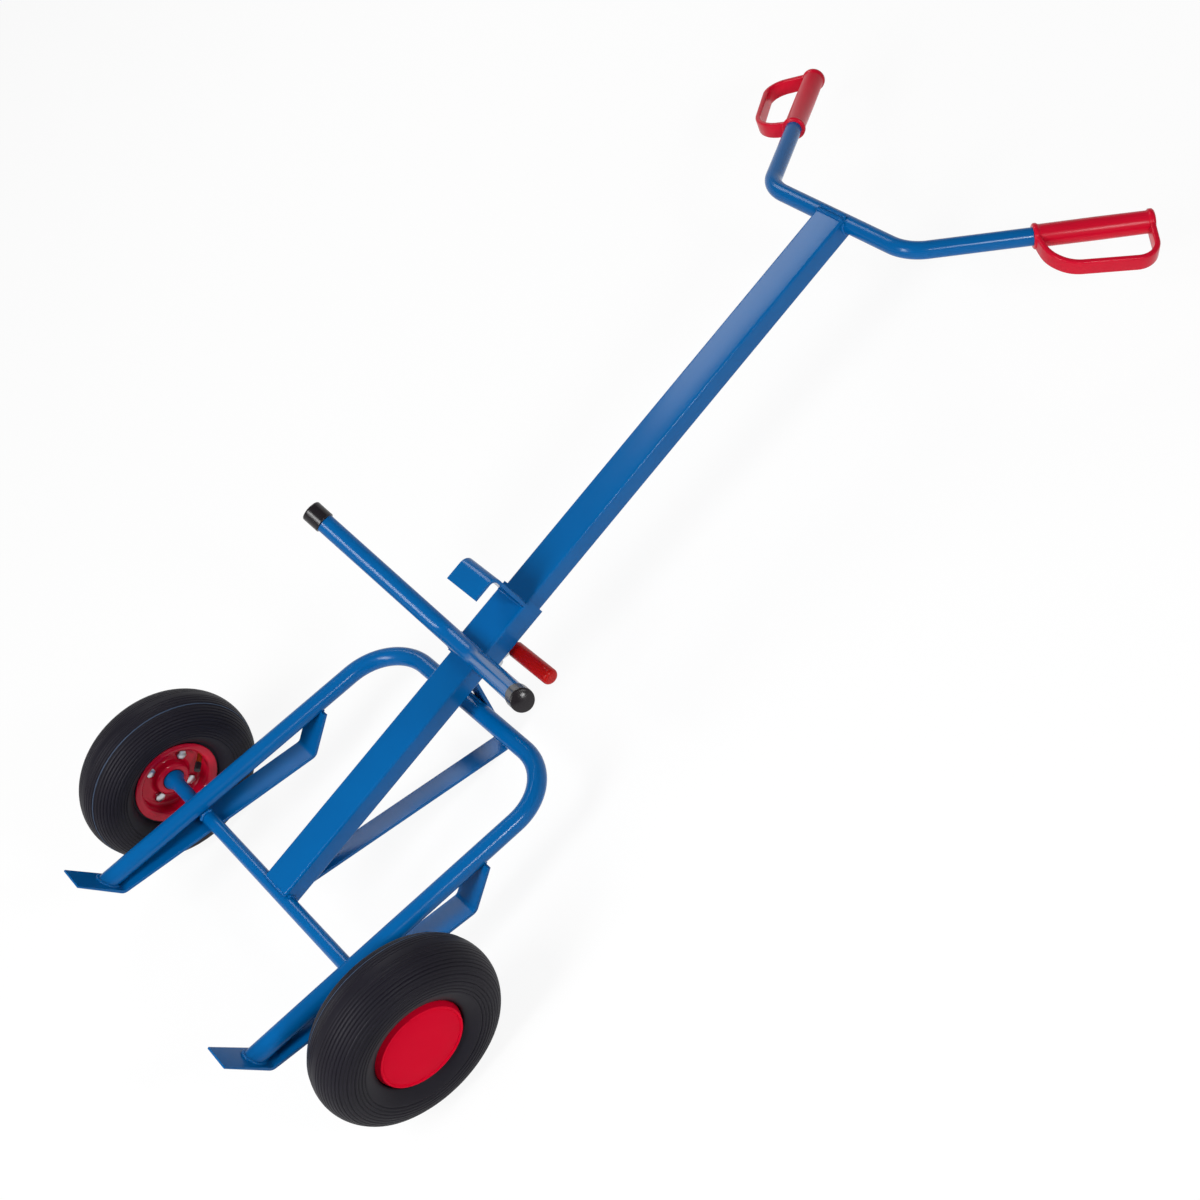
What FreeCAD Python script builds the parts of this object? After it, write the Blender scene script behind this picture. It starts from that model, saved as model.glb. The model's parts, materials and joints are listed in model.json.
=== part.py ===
"""Drum trolley with a sliding hook, a bent hoop with two toes, three skids and two pneumatic wheels.

Every piece is drawn in the mast's own frame: X runs along the axle, Y points to the back, Z runs up the
mast, and the origin is the middle of the axle. The finished pieces are then laid down on the wheels and on
the centre skid, which is how the empty trolley rests: the floor is Z = 0 and the axle lies over the origin.
"""
import FreeCAD
import Part
import Sketcher
import math
import os

from FreeCAD import Placement, Rotation, Vector

# Lengths in millimetres, angles in degrees, and plain counts.
SIZES = {
    # Clearances and cuts that serve the whole part.
    "weld_gap": 0.1,
    "slip_gap": 0.3,
    "bearing_gap": 0.05,
    "overrun": 6,
    # Mast: rectangular tube standing on the axle.
    "mast_width": 50,
    "mast_depth": 30,
    "mast_wall": 2.5,
    "mast_corner": 4,
    "mast_foot": 7,
    # Handlebar: round tube with two arms that rise, spread and lean back.
    "handle_height": 1156,
    "handle_half": 131,
    "handle_tube": 24,
    "handle_wall": 2.5,
    "handle_bend": 55,
    "arm_spread_angle": 32.7,
    "arm_rise_angle": 46,
    # Safety grips at the ends of the arms.
    "grip_start": 163,
    "grip_length": 156,
    "grip_diameter": 30,
    "grip_end_wall": 4,
    "grip_collar": 34,
    "grip_collar_width": 7,
    "guard_low_reach": 57.5,
    "guard_low_along": 36,
    "guard_high_reach": 69,
    "guard_high_along": 142,
    "guard_root_along": 7,
    "guard_end_along": 151,
    "guard_thickness": 7,
    "guard_width": 23,
    "guard_edge": 2,
    "guard_bend": 22,
    "guard_roll_angle": 14.7,
    # Hoop: round tube whose legs lie in front of the axle and lean back.
    "wheel_clearance": 51,
    "leg_tube": 26,
    "leg_wall": 2.5,
    "leg_lean_angle": 14.25,
    "hoop_bend": 79,
    # Axle, its collars, washers and rings.
    "track": 596,
    "axle_diameter": 20,
    "axle_stub": 21,
    "axle_chamfer": 1.5,
    "collar_diameter": 30,
    "collar_width": 12,
    "collar_taper": 3,
    "washer_diameter": 36,
    "washer_thickness": 2.5,
    "ring_diameter": 29,
    "ring_thickness": 2,
    # Flat bar of the skids, and the side skids with their toes.
    "bar_width": 40,
    "bar_thickness": 5,
    "bar_bend": 9,
    "toe_length": 76,
    "toe_tilt_angle": 16,
    "toe_edge_angle": 14,
    "skid_lean_angle": 21.6,
    "skid_drop": 147,
    "skid_rise_share": 0.43603,
    "skid_return_share": 0.56136,
    "skid_cope": 5,
    # Centre skid behind the mast.
    "centre_lean_angle": 25.1,
    "centre_offset": 3.8,
    "centre_fall": 40.93,
    "centre_width": 30,
    "centre_root": 20,
    # Slider: sleeve, hook, and the cross bar whose arms bend forward round the drum, with its caps.
    "sleeve_height": 383,
    "stop_gap": 5,
    "sleeve_length": 117,
    "sleeve_wall": 3,
    "sleeve_play": 0.5,
    "sleeve_corner": 4,
    "hook_width": 62,
    "hook_thickness": 5,
    "hook_reach": 81,
    "hook_drop": 37.5,
    "hook_bend": 11,
    "hook_inset": 9.5,
    "crossbar_diameter": 26.6,
    "crossbar_wall": 2.5,
    "crossbar_height": 15.3,
    "crossbar_half": 36,
    "crossbar_arm": 241,
    "crossbar_bend": 60,
    "crossbar_spread_angle": 31.8,
    "crossbar_tilt_angle": 1.73,
    "crossbar_pitch_angle": 1.6,
    "cap_wall": 2,
    "cap_grip": 21,
    "cap_dome": 9,
    "cap_dome_rise": 7,
    "cap_dome_radius": 20.2,
    # Lever behind the sleeve: ears, pin, pawl, rod and red grip.
    "ear_gap": 16,
    "ear_thickness": 5,
    "ear_reach": 11,
    "ear_radius": 8,
    "pin_diameter": 8,
    "pin_head": 13,
    "pin_head_thickness": 3,
    "pin_height": 29,
    "pawl_width": 14,
    "pawl_boss": 9,
    "pawl_nose": 9,
    "pawl_nose_rise": 1.5,
    "pawl_window": 18,
    "pawl_window_height": 27,
    "pawl_gap": 0.4,
    "rod_diameter": 12,
    "rod_back": 10.5,
    "rod_rise": 28,
    "rod_boss": 10,
    "rod_tail": 11,
    "rod_reach": 82,
    "lever_grip_diameter": 23,
    "lever_grip_start": 14,
    "lever_grip_dome": 10,
    "lever_grip_end": 12,
    # Wheels: tyre and inner tube.
    "wheel_radius": 130,
    "tread_radius": 51,
    "tread_half": 34,
    "tread_thickness": 9,
    "tread_inner_half": 27,
    "wall_radius": 32.5,
    "wall_inner_radius": 27,
    "bead_height": 13,
    "bead_inner_half": 14,
    "groove_pitch": 9.4,
    "groove_width": 2.6,
    "groove_depth": 3,
    "groove_count": 7,
    "tube_section": 25,
    "tube_wall": 2.5,
    # Wheels: pressed rim halves, hub and bearings.
    "rim_sheet": 2.5,
    "rim_seat": 52,
    "rim_flange": 63,
    "rim_half": 22,
    "rim_bend": 5,
    "hub_diameter": 42,
    "hub_wall": 3,
    "hub_half": 14,
    "bearing_width": 11,
    # Wheels: bolts, nuts, valve and hub cap.
    "bolt_circle": 70,
    "bolt_count": 4,
    "bolt_turn_angle": 18,
    "bolt_diameter": 8,
    "bolt_across": 13,
    "bolt_head": 5.3,
    "bolt_length": 14,
    "nut_height": 6.5,
    "valve_turn_angle": -13,
    "valve_diameter": 7,
    "valve_length": 30,
    "valve_inset": 8.3,
    "valve_lean_angle": 48,
    "valve_cap_diameter": 9,
    "valve_cap_length": 12,
    "valve_cap_wall": 1,
    "hubcap_sheet": 2,
    "hubcap_face": 35,
    "hubcap_lip": 2.5,
    "hubcap_lip_width": 7,
    "hubcap_skirt": 18,
}

doc = FreeCAD.newDocument("drum_trolley")
sheet = doc.addObject("Spreadsheet::Sheet", "sizes")
for row, (alias, number) in enumerate(SIZES.items(), start=1):
    sheet.set(f"A{row}", alias)
    sheet.set(f"B{row}", str(number))
    sheet.setAlias(f"B{row}", alias)
doc.recompute()


class Size:
    """A size that keeps its number together with the sheet formula that gives it."""

    def __init__(self, number, formula):
        self.number = float(number)
        self.formula = formula

    def __float__(self):
        return self.number

    def __neg__(self):
        return Size(-self.number, f"(-{self.formula})")

    def __add__(self, other):
        return Size(self.number + float(other), f"({self.formula} + {formula_of(other)})")

    def __radd__(self, other):
        return Size(float(other) + self.number, f"({formula_of(other)} + {self.formula})")

    def __sub__(self, other):
        return Size(self.number - float(other), f"({self.formula} - {formula_of(other)})")

    def __rsub__(self, other):
        return Size(float(other) - self.number, f"({formula_of(other)} - {self.formula})")

    def __mul__(self, other):
        return Size(self.number * float(other), f"({self.formula} * {formula_of(other)})")

    __rmul__ = __mul__

    def __truediv__(self, other):
        return Size(self.number / float(other), f"({self.formula} / {formula_of(other)})")

    def root(self):
        return Size(math.sqrt(self.number), f"sqrt({self.formula})")


def formula_of(size):
    """The sheet formula of a size, or the plain text of a bare zero or share."""
    return size.formula if isinstance(size, Size) else str(size)


class SheetSizes:
    """Gives each cell of the sheet as a Size under its alias."""

    def __getattr__(self, name):
        return Size(getattr(sheet, name), f"sizes.{name}")


size = SheetSizes()
X_AXIS, Y_AXIS, Z_AXIS = Vector(1, 0, 0), Vector(0, 1, 0), Vector(0, 0, 1)
nodes = {}


def sine(angle):
    return math.sin(math.radians(float(angle)))


def cosine(angle):
    return math.cos(math.radians(float(angle)))


def bind(obj, **values):
    """Ties properties of an object to formulas on the sheet."""
    for name, value in values.items():
        obj.setExpression(name, formula_of(value))
    return obj


def node(label, obj, seat=Placement()):
    """Registers a finished piece under its own name, at its place in the mast's frame."""
    obj.Label = label
    obj.Placement = seat.multiply(obj.Placement)
    nodes[label] = obj
    return obj


def cylinder(diameter, height, base=Vector(), along=Z_AXIS):
    """A round bar from a base point along a direction."""
    obj = bind(doc.addObject("Part::Cylinder", "Cylinder"), Radius=diameter / 2, Height=height)
    obj.Placement = Placement(base, Rotation(Z_AXIS, along))
    return obj


def block(length, width, height, corner, turn=Rotation()):
    """A box from its lowest corner."""
    obj = bind(doc.addObject("Part::Box", "Box"), Length=length, Width=width, Height=height)
    obj.Placement = Placement(corner, turn)
    return obj


def cut(base, *tools):
    """The base less every tool."""
    for tool in tools:
        result = doc.addObject("Part::Cut", "Cut")
        result.Base = base
        result.Tool = tool
        base = result
    return base


def fuse(*pieces):
    result = doc.addObject("Part::MultiFuse", "Fuse")
    result.Shapes = list(pieces)
    result.Refine = True
    return result


def group(*pieces):
    """Several separate solids that share one node."""
    result = doc.addObject("Part::Compound", "Group")
    result.Links = list(pieces)
    return result


def ring(outer, inner, width, base=Vector(), along=X_AXIS):
    """A plain ring from a base point along a direction."""
    return cut(cylinder(outer, width, base, along), cylinder(inner, width, base, along))


def rounded_wire(points, radius):
    """A path of straight runs whose inner corners are arcs of one radius."""
    edges = []
    start = points[0]
    for before, corner, after in zip(points, points[1:], points[2:]):
        inward = (before - corner).normalize()
        onward = (after - corner).normalize()
        half_angle = inward.getAngle(onward) / 2
        reach = float(radius) / math.tan(half_angle)
        middle = (inward + onward).normalize()
        centre = corner + middle * (float(radius) / math.sin(half_angle))
        enter, leave = corner + inward * reach, corner + onward * reach
        edges.append(Part.LineSegment(start, enter).toShape())
        edges.append(Part.Arc(enter, centre - middle * float(radius), leave).toShape())
        start = leave
    edges.append(Part.LineSegment(start, points[-1]).toShape())
    return Part.Wire(edges)


def path(points, radius):
    """A bent centre line, kept as an object that sweeps can follow."""
    obj = doc.addObject("Part::Feature", "Path")
    obj.Shape = rounded_wire(points, radius)
    return obj


def sweep(section, spine):
    """A section carried along a path."""
    obj = doc.addObject("Part::Sweep", "Sweep")
    obj.Sections = [section]
    obj.Spine = (spine, [f"Edge{index + 1}" for index in range(len(spine.Shape.Edges))])
    obj.Solid = True
    return obj


def rod_along(points, bend, diameter):
    """A round bar bent along a path."""
    section = bind(doc.addObject("Part::Circle", "Section"), Radius=diameter / 2)
    section.Placement = Placement(points[0], Rotation(Z_AXIS, points[1] - points[0]))
    return sweep(section, path(points, bend))


def tube_along(points, bend, diameter, wall):
    """A round tube bent along a path, open at both ends."""
    return cut(rod_along(points, bend, diameter), rod_along(points, bend, diameter - wall * 2))


def strip_along(points, bend, width, thickness):
    """A flat bar bent along a path in the Y and Z plane, with its width along X."""
    along = (points[1] - points[0]).normalize()
    turn = Rotation(X_AXIS, Vector(), along, "ZXY")
    section = bind(doc.addObject("Part::Plane", "Section"), Length=width, Width=thickness)
    corner = turn.multVec(Vector(-float(width) / 2, -float(thickness) / 2, 0))
    section.Placement = Placement(points[0] + corner, turn)
    return sweep(section, path(points, bend))


def arc_between(start, end, radius):
    """The short arc from start to end, turning left for a positive radius and right for a negative one."""
    chord = end - start
    side = Vector(-chord.y, chord.x, 0).normalize() * (1 if radius > 0 else -1)
    depth = math.sqrt(max(radius * radius - chord.Length ** 2 / 4, 0))
    centre = (start + end) / 2 + side * depth
    first, last = (start, end) if radius > 0 else (end, start)
    angles = [math.atan2(point.y - centre.y, point.x - centre.x) for point in (first, last)]
    return Part.ArcOfCircle(Part.Circle(centre, Z_AXIS, abs(radius)), *angles)


def pin_point(sketch, segment, end, axis, value):
    """Fixes one coordinate of a corner: on the axis line for zero, and by a bound distance otherwise."""
    if not isinstance(value, Size):
        sketch.addConstraint(Sketcher.Constraint("PointOnObject", segment, end, -2 if axis == "X" else -1))
        return
    kind = f"Distance{axis}"
    index = sketch.addConstraint(Sketcher.Constraint(kind, -1, 1, segment, end, value.number))
    sketch.setExpression(f"Constraints[{index}]", value.formula)


def draw_outline(sketch, corners):
    """Draws a closed outline whose corners are bound to the sheet.

    A corner is (x, y), or (x, y, radius) where an arc of that signed radius leads to it.
    """
    points = [Vector(float(corner[0]), float(corner[1]), 0) for corner in corners]
    count = len(corners)
    ends = []
    for index, start in enumerate(points):
        target = corners[(index + 1) % count]
        end = points[(index + 1) % count]
        if len(target) == 2:
            segment = sketch.addGeometry(Part.LineSegment(start, end))
            ends.append((segment, 1, 2))
            continue
        radius = target[2]
        segment = sketch.addGeometry(arc_between(start, end, float(radius)))
        ends.append((segment, 1, 2) if float(radius) > 0 else (segment, 2, 1))
    for index, (segment, first, last) in enumerate(ends):
        following, opening, _ = ends[(index + 1) % count]
        sketch.addConstraint(Sketcher.Constraint("Coincident", segment, last, following, opening))
        pin_point(sketch, segment, first, "X", corners[index][0])
        pin_point(sketch, segment, first, "Y", corners[index][1])
        target = corners[(index + 1) % count]
        if len(target) == 3:
            radius = target[2] if float(target[2]) > 0 else -target[2]
            bound = sketch.addConstraint(Sketcher.Constraint("Radius", segment, radius.number))
            sketch.setExpression(f"Constraints[{bound}]", radius.formula)


def rounded_rectangle(width, height, corner):
    """Corners of a rectangle about the origin, rounded by arcs."""
    far, flat = width / 2, width / 2 - corner
    top, side = height / 2, height / 2 - corner
    return [(flat, -top), (far, -side, corner), (far, side), (flat, top, corner),
            (-flat, top), (-far, side, corner), (-far, -side), (-flat, -top, corner)]


def sketch_in(body, role):
    """A sketch on one of the body's own origin planes."""
    sketch = body.newObject("Sketcher::SketchObject", "Sketch")
    plane = next(item for item in body.Origin.OriginFeatures if item.Role == role)
    sketch.AttachmentSupport = [(plane, "")]
    sketch.MapMode = "FlatFace"
    return sketch


def revolved(outline, grooves=()):
    """A turned piece about the X axis, from corners given as (axial, radius), less any turned grooves."""
    body = doc.addObject("PartDesign::Body", "Turned")
    sketch = sketch_in(body, "XY_Plane")
    draw_outline(sketch, outline)
    feature = body.newObject("PartDesign::Revolution", "Revolution")
    feature.Profile = sketch
    feature.ReferenceAxis = (sketch, ["H_Axis"])
    feature.Angle = 360
    if grooves:
        doc.recompute()
        notch = sketch_in(body, "XY_Plane")
        for corners in grooves:
            draw_outline(notch, corners)
        feature = body.newObject("PartDesign::Groove", "Groove")
        feature.Profile = notch
        feature.ReferenceAxis = (notch, ["H_Axis"])
        feature.Angle = 360
    doc.recompute()
    return body


def rectangular_tube(width, depth, length, wall, corner, base):
    """A rectangular tube that stands on a height, as a body with rounded long edges."""
    body = doc.addObject("PartDesign::Body", "Tube")
    outer = body.newObject("PartDesign::AdditiveBox", "Outer")
    bind(outer, Length=width, Width=depth, Height=length)
    outer.Placement = Placement(Vector(-float(width) / 2, -float(depth) / 2, float(base)), Rotation())
    doc.recompute()
    directions = [edge.tangentAt(edge.FirstParameter) for edge in outer.Shape.Edges]
    long_edges = [f"Edge{index}" for index, along in enumerate(directions, start=1)
                  if abs(along.z) > abs(along.x) + abs(along.y)]
    rounded = bind(body.newObject("PartDesign::Fillet", "Rounding"), Radius=corner)
    rounded.Base = (outer, long_edges)
    doc.recompute()
    bore = body.newObject("PartDesign::SubtractiveBox", "Bore")
    bind(bore, Length=width - wall * 2, Width=depth - wall * 2, Height=length + size.overrun * 2)
    inset = Vector(float(wall), float(wall), -float(size.overrun))
    bore.Placement = Placement(outer.Placement.Base + inset, Rotation())
    doc.recompute()
    return body


def mast_point(y, z):
    """A point of the trolley's middle plane."""
    return Vector(0, float(y), float(z))


# Places that several pieces share. The slider's lowest place sets the stop below it, and the skids follow.
leg_half = size.track / 2 - size.tread_half - size.wheel_clearance - size.bar_width / 2
skid_rise = size.sleeve_height * size.skid_rise_share
skid_return = size.sleeve_height * size.skid_return_share
leg_offset = (size.leg_tube + size.axle_diameter) / 2 + size.weld_gap
leg_up = Vector(0, sine(size.leg_lean_angle), cosine(size.leg_lean_angle))
leg_front = -float(leg_offset) / cosine(size.leg_lean_angle)
sleeve_width = size.mast_width + (size.sleeve_play + size.sleeve_wall) * 2
sleeve_depth = size.mast_depth + (size.sleeve_play + size.sleeve_wall) * 2


def leg_point(height, x=0.0):
    """A point of a leg's axis at a height above the axle."""
    return Vector(float(x), leg_front, 0) + leg_up * (float(height) / leg_up.z)


def leaning_point(lean, distance, run):
    """A point of a line that leans back, by its distance behind the axle's axis and its run up the line."""
    across = Vector(0, cosine(lean), -sine(lean))
    along = Vector(0, sine(lean), cosine(lean))
    return across * float(distance) + along * float(run)


# Centre skid: its line, and the bend that the laid-down trolley rests on.
centre_return = size.sleeve_height - size.stop_gap
centre_level = centre_return - size.centre_fall + size.centre_offset * sine(size.centre_lean_angle)
centre_run = centre_level / cosine(size.centre_lean_angle)
centre_start = leaning_point(size.centre_lean_angle, size.centre_offset, size.centre_root)
centre_corner = leaning_point(size.centre_lean_angle, size.centre_offset, centre_run)
centre_end = mast_point(0, centre_return)


def rest_placement():
    """The turn that lays the trolley down until the wheels and the centre skid's bend touch the floor."""
    to_start = (centre_start - centre_corner).normalize()
    to_end = (centre_end - centre_corner).normalize()
    half_angle = to_start.getAngle(to_end) / 2
    middle = (to_start + to_end).normalize()
    bend_centre = centre_corner + middle * (float(size.bar_bend) / math.sin(half_angle))
    bend_outside = float(size.bar_bend + size.bar_thickness / 2)
    drop = float(size.wheel_radius) - bend_outside
    reach = math.hypot(bend_centre.y, bend_centre.z)
    tilt = math.degrees(math.acos(drop / reach)) - math.degrees(math.atan2(bend_centre.z, bend_centre.y))
    return Placement(Vector(0, 0, float(size.wheel_radius)), Rotation(X_AXIS, tilt - 90))


def hoop_top():
    """The height where the hoop's top tube lies against the underside of the centre skid's return."""
    onward = (centre_end - centre_corner).normalize()
    below = Vector(0, onward.z, -onward.y)
    if below.z > 0:
        below = below * -1
    clear = float((size.leg_tube + size.bar_thickness) / 2 + size.weld_gap)
    run = (clear - (leg_point(0) - centre_corner).dot(below)) / leg_up.dot(below)
    return run * leg_up.z


def build_mast():
    length = size.handle_height - size.mast_foot
    tube = rectangular_tube(size.mast_width, size.mast_depth, length, size.mast_wall, size.mast_corner,
                            size.mast_foot)
    across = size.mast_width + size.overrun * 2
    start = -float(across) / 2
    foot_saddle = cylinder(size.axle_diameter, across, Vector(start, 0, 0), X_AXIS)
    head_saddle = cylinder(size.handle_tube, across, Vector(start, 0, float(size.handle_height)), X_AXIS)
    node("mast", cut(tube, foot_saddle, head_saddle))


def arm_direction(side):
    """The direction of an arm, from its bend to its grip."""
    spread, rise = size.arm_spread_angle, size.arm_rise_angle
    return Vector(side * cosine(spread) * cosine(rise), sine(spread) * cosine(rise), sine(rise))


def build_handlebar():
    reach = float(size.grip_start + size.grip_length - size.grip_end_wall)
    bends = [Vector(side * float(size.handle_half), 0, float(size.handle_height)) for side in (-1, 1)]
    ends = [bend + arm_direction(side) * reach for side, bend in zip((-1, 1), bends)]
    points = [ends[0], bends[0], bends[1], ends[1]]
    node("handlebar", tube_along(points, size.handle_bend, size.handle_tube, size.handle_wall))


def build_grip(label, side):
    """A moulded grip drawn along Z, with its knuckle guard towards X."""
    sleeve = cylinder(size.grip_diameter, size.grip_length)
    collar = cylinder(size.grip_collar, size.grip_collar_width)
    end_base = Vector(0, 0, float(size.grip_length - size.grip_collar_width))
    end_flange = cylinder(size.grip_collar, size.grip_collar_width, end_base)
    root = size.grip_diameter / 2 - size.grip_end_wall / 2
    places = [(root, size.guard_root_along), (size.guard_low_reach, size.guard_low_along),
              (size.guard_high_reach, size.guard_high_along), (root, size.guard_end_along)]
    points = [Vector(float(reach), 0, float(along)) for reach, along in places]
    section = doc.addObject("Sketcher::SketchObject", "Section")
    draw_outline(section, rounded_rectangle(size.guard_width, size.guard_thickness, size.guard_edge))
    section.Placement = Placement(points[0], Rotation(Y_AXIS, Vector(), points[1] - points[0], "ZXY"))
    guard = sweep(section, path(points, size.guard_bend))
    bore = cylinder(size.handle_tube, size.grip_length - size.grip_end_wall)
    arm = arm_direction(side)
    outward = Vector(side, 0, 0) - arm * (side * arm.x)
    facing = Rotation(arm, side * float(size.guard_roll_angle)).multVec(outward.normalize())
    bend = Vector(side * float(size.handle_half), 0, float(size.handle_height))
    seat = Placement(bend + arm * float(size.grip_start), Rotation(facing, Vector(), arm, "ZXY"))
    node(label, cut(fuse(sleeve, collar, end_flange, guard), bore), seat)


def toe_heel():
    """The heel where a side skid's run bends into the toe, on the strip's middle line."""
    return leaning_point(size.skid_lean_angle, skid_distance(), -size.skid_drop)


def skid_distance():
    """How far behind the axle's axis a side skid's middle line runs."""
    return (size.axle_diameter + size.bar_thickness) / 2 + size.weld_gap


def build_hoop():
    top, low = hoop_top(), toe_heel().z * 2
    half = float(leg_half)
    points = [leg_point(low, -half), leg_point(top, -half), leg_point(top, half), leg_point(low, half)]
    tube = tube_along(points, size.hoop_bend, size.leg_tube, size.leg_wall)
    toe_turn = Rotation(X_AXIS, float(size.toe_tilt_angle))
    face_up = toe_turn.multVec(Z_AXIS)
    span = leg_half * 2 + size.leg_tube + size.overrun * 2
    floor_depth = size.skid_drop
    corner = toe_heel() + face_up * float(size.bar_thickness / 2 + size.weld_gap - floor_depth)
    corner = corner + toe_turn.multVec(Y_AXIS) * -float(size.skid_drop) - X_AXIS * float(span / 2)
    trim = block(span, size.skid_drop * 2, floor_depth, corner, toe_turn)
    node("hoop", cut(tube, trim))


def build_side_skid(label, side):
    heel = toe_heel()
    toe_along = Rotation(X_AXIS, float(size.toe_tilt_angle)).multVec(-Y_AXIS)
    tip = heel + toe_along * float(size.toe_length)
    corner = leaning_point(size.skid_lean_angle, skid_distance(), skid_rise)
    landing = leg_point(skid_return)
    strip = strip_along([tip, heel, corner, landing], size.bar_bend, size.bar_width, size.bar_thickness)
    leg_space = cylinder(size.leg_tube + size.weld_gap * 2, skid_return * 2, leg_point(0), leg_up)
    leg_turn = Rotation(X_AXIS, -float(size.leg_lean_angle))
    trim_inset = Vector(-float(size.bar_width), -float(size.leg_tube / 2 + size.skid_cope), 0)
    trim_corner = leg_point(0) + leg_turn.multVec(trim_inset)
    trim = block(size.bar_width * 2, size.leg_tube, skid_return * 2, trim_corner, leg_turn)
    edge_turn = Rotation(X_AXIS, float(size.toe_tilt_angle + size.toe_edge_angle))
    edge_base = tip - edge_turn.multVec(Y_AXIS) * float(size.overrun) - X_AXIS * float(size.bar_width)
    edge = block(size.bar_width * 2, size.toe_length / 2, size.bar_width / 2, edge_base, edge_turn)
    seat = Placement(Vector(side * float(leg_half), 0, 0), Rotation())
    node(label, cut(strip, leg_space, trim, edge), seat)


def build_centre_skid():
    points = [centre_start, centre_corner, centre_end]
    strip = strip_along(points, size.bar_bend, size.centre_width, size.bar_thickness)
    back = size.mast_depth / 2 + size.weld_gap
    corner = Vector(-float(size.bar_width), float(back - centre_run), -float(size.overrun))
    mast_space = block(size.bar_width * 2, centre_run, centre_return + size.bar_width, corner)
    node("centre_skid", cut(strip, mast_space))


def build_axle():
    half = size.track / 2 + size.axle_stub
    bar = cylinder(size.axle_diameter, half * 2, Vector(-float(half), 0, 0), X_AXIS)
    doc.recompute()
    ends = [index for index, edge in enumerate(bar.Shape.Edges, start=1)
            if edge.Closed and edge.Curve.TypeId == "Part::GeomCircle"]
    chamfer = doc.addObject("Part::Chamfer", "Chamfer")
    chamfer.Base = bar
    chamfer.Edges = [(index, float(size.axle_chamfer), float(size.axle_chamfer)) for index in ends]
    node("axle", chamfer)
    inner_face = size.track / 2 - size.hub_half - size.slip_gap
    radius, bore = size.collar_diameter / 2, size.axle_diameter / 2
    collar = [(0, bore), (size.collar_width, bore), (size.collar_width, radius),
              (size.collar_taper, radius), (0, radius - size.collar_taper)]
    collars = []
    for side, turn in ((1, 0), (-1, 180)):
        turned = revolved(collar)
        base = Vector(side * float(inner_face - size.collar_width), 0, 0)
        turned.Placement = Placement(base, Rotation(Z_AXIS, turn))
        collars.append(turned)
    node("axle_collars", group(*collars))
    washer_face = size.track / 2 + size.hub_half + size.slip_gap
    ring_face = washer_face + size.washer_thickness
    stacked = (("axle_washers", washer_face, size.washer_thickness, size.washer_diameter),
               ("axle_rings", ring_face, size.ring_thickness, size.ring_diameter))
    for label, face, width, outer in stacked:
        pair = [ring(outer, size.axle_diameter, width, Vector(side * float(face), 0, 0), X_AXIS * side)
                for side in (1, -1)]
        node(label, group(*pair))


def build_slider():
    tube = rectangular_tube(sleeve_width, sleeve_depth, size.sleeve_length, size.sleeve_wall,
                            size.sleeve_corner, size.sleeve_height)
    back = float(sleeve_depth / 2)
    pin_z = float(size.sleeve_height + size.pin_height)
    window = block(size.pawl_window, size.sleeve_wall + size.overrun * 2, size.pawl_window_height,
                   Vector(-float(size.pawl_window) / 2, back - float(size.sleeve_wall + size.overrun),
                          pin_z - float(size.pawl_boss)))
    node("sleeve", cut(tube, window))

    front = -float(sleeve_depth / 2 + size.weld_gap)
    level = float(size.sleeve_height + size.sleeve_length - size.hook_inset)
    lip = front - float(size.hook_reach)
    hook_path = [mast_point(front, level), mast_point(lip, level),
                 mast_point(lip, level - float(size.hook_drop))]
    node("hook", strip_along(hook_path, size.hook_bend, size.hook_width, size.hook_thickness))

    bar_level = float(size.sleeve_height + size.crossbar_height)
    bar_place = Vector(0, front - float(size.crossbar_diameter / 2), bar_level)
    bar_tilt = Rotation(Y_AXIS, float(size.crossbar_tilt_angle))
    bar_pitch = Rotation(X_AXIS, -float(size.crossbar_pitch_angle))
    bar_seat = Placement(bar_place, bar_tilt.multiply(bar_pitch))
    spread = size.crossbar_spread_angle
    arms = {side: Vector(side * cosine(spread), -sine(spread), 0) for side in (-1, 1)}
    bends = {side: Vector(side * float(size.crossbar_half), 0, 0) for side in (-1, 1)}
    ends = {side: bends[side] + arms[side] * float(size.crossbar_arm) for side in (-1, 1)}
    bar_points = [ends[-1], bends[-1], bends[1], ends[1]]
    bar = tube_along(bar_points, size.crossbar_bend, size.crossbar_diameter, size.crossbar_wall)
    node("cross_bar", bar, bar_seat)
    for label, side in (("bar_cap_right", -1), ("bar_cap_left", 1)):
        cap_seat = Placement(ends[side], Rotation(X_AXIS, arms[side]))
        node(label, revolved(cap_outline()), bar_seat.multiply(cap_seat))

    pin_y = back + float(size.ear_reach)
    ears = []
    for side in (-1, 1):
        inner = side * float(size.ear_gap / 2)
        start = inner if side > 0 else inner - float(size.ear_thickness)
        plate = block(size.ear_thickness, size.ear_reach - size.weld_gap, size.ear_radius * 2,
                      Vector(start, back + float(size.weld_gap), pin_z - float(size.ear_radius)))
        boss = cylinder(size.ear_radius * 2, size.ear_thickness, Vector(start, pin_y, pin_z), X_AXIS)
        hole = cylinder(size.pin_diameter, size.ear_thickness, Vector(start, pin_y, pin_z), X_AXIS)
        ears.append(cut(fuse(plate, boss), hole))
    node("lever_ears", group(*ears))

    span = size.ear_gap + size.ear_thickness * 2
    pin_ends = {side: Vector(side * float(span / 2), pin_y, pin_z) for side in (-1, 1)}
    shank = cylinder(size.pin_diameter, span, pin_ends[-1], X_AXIS)
    heads = [cylinder(size.pin_head, size.pin_head_thickness, end, X_AXIS * side)
             for side, end in pin_ends.items()]
    node("lever_pin", fuse(shank, *heads))


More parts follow.
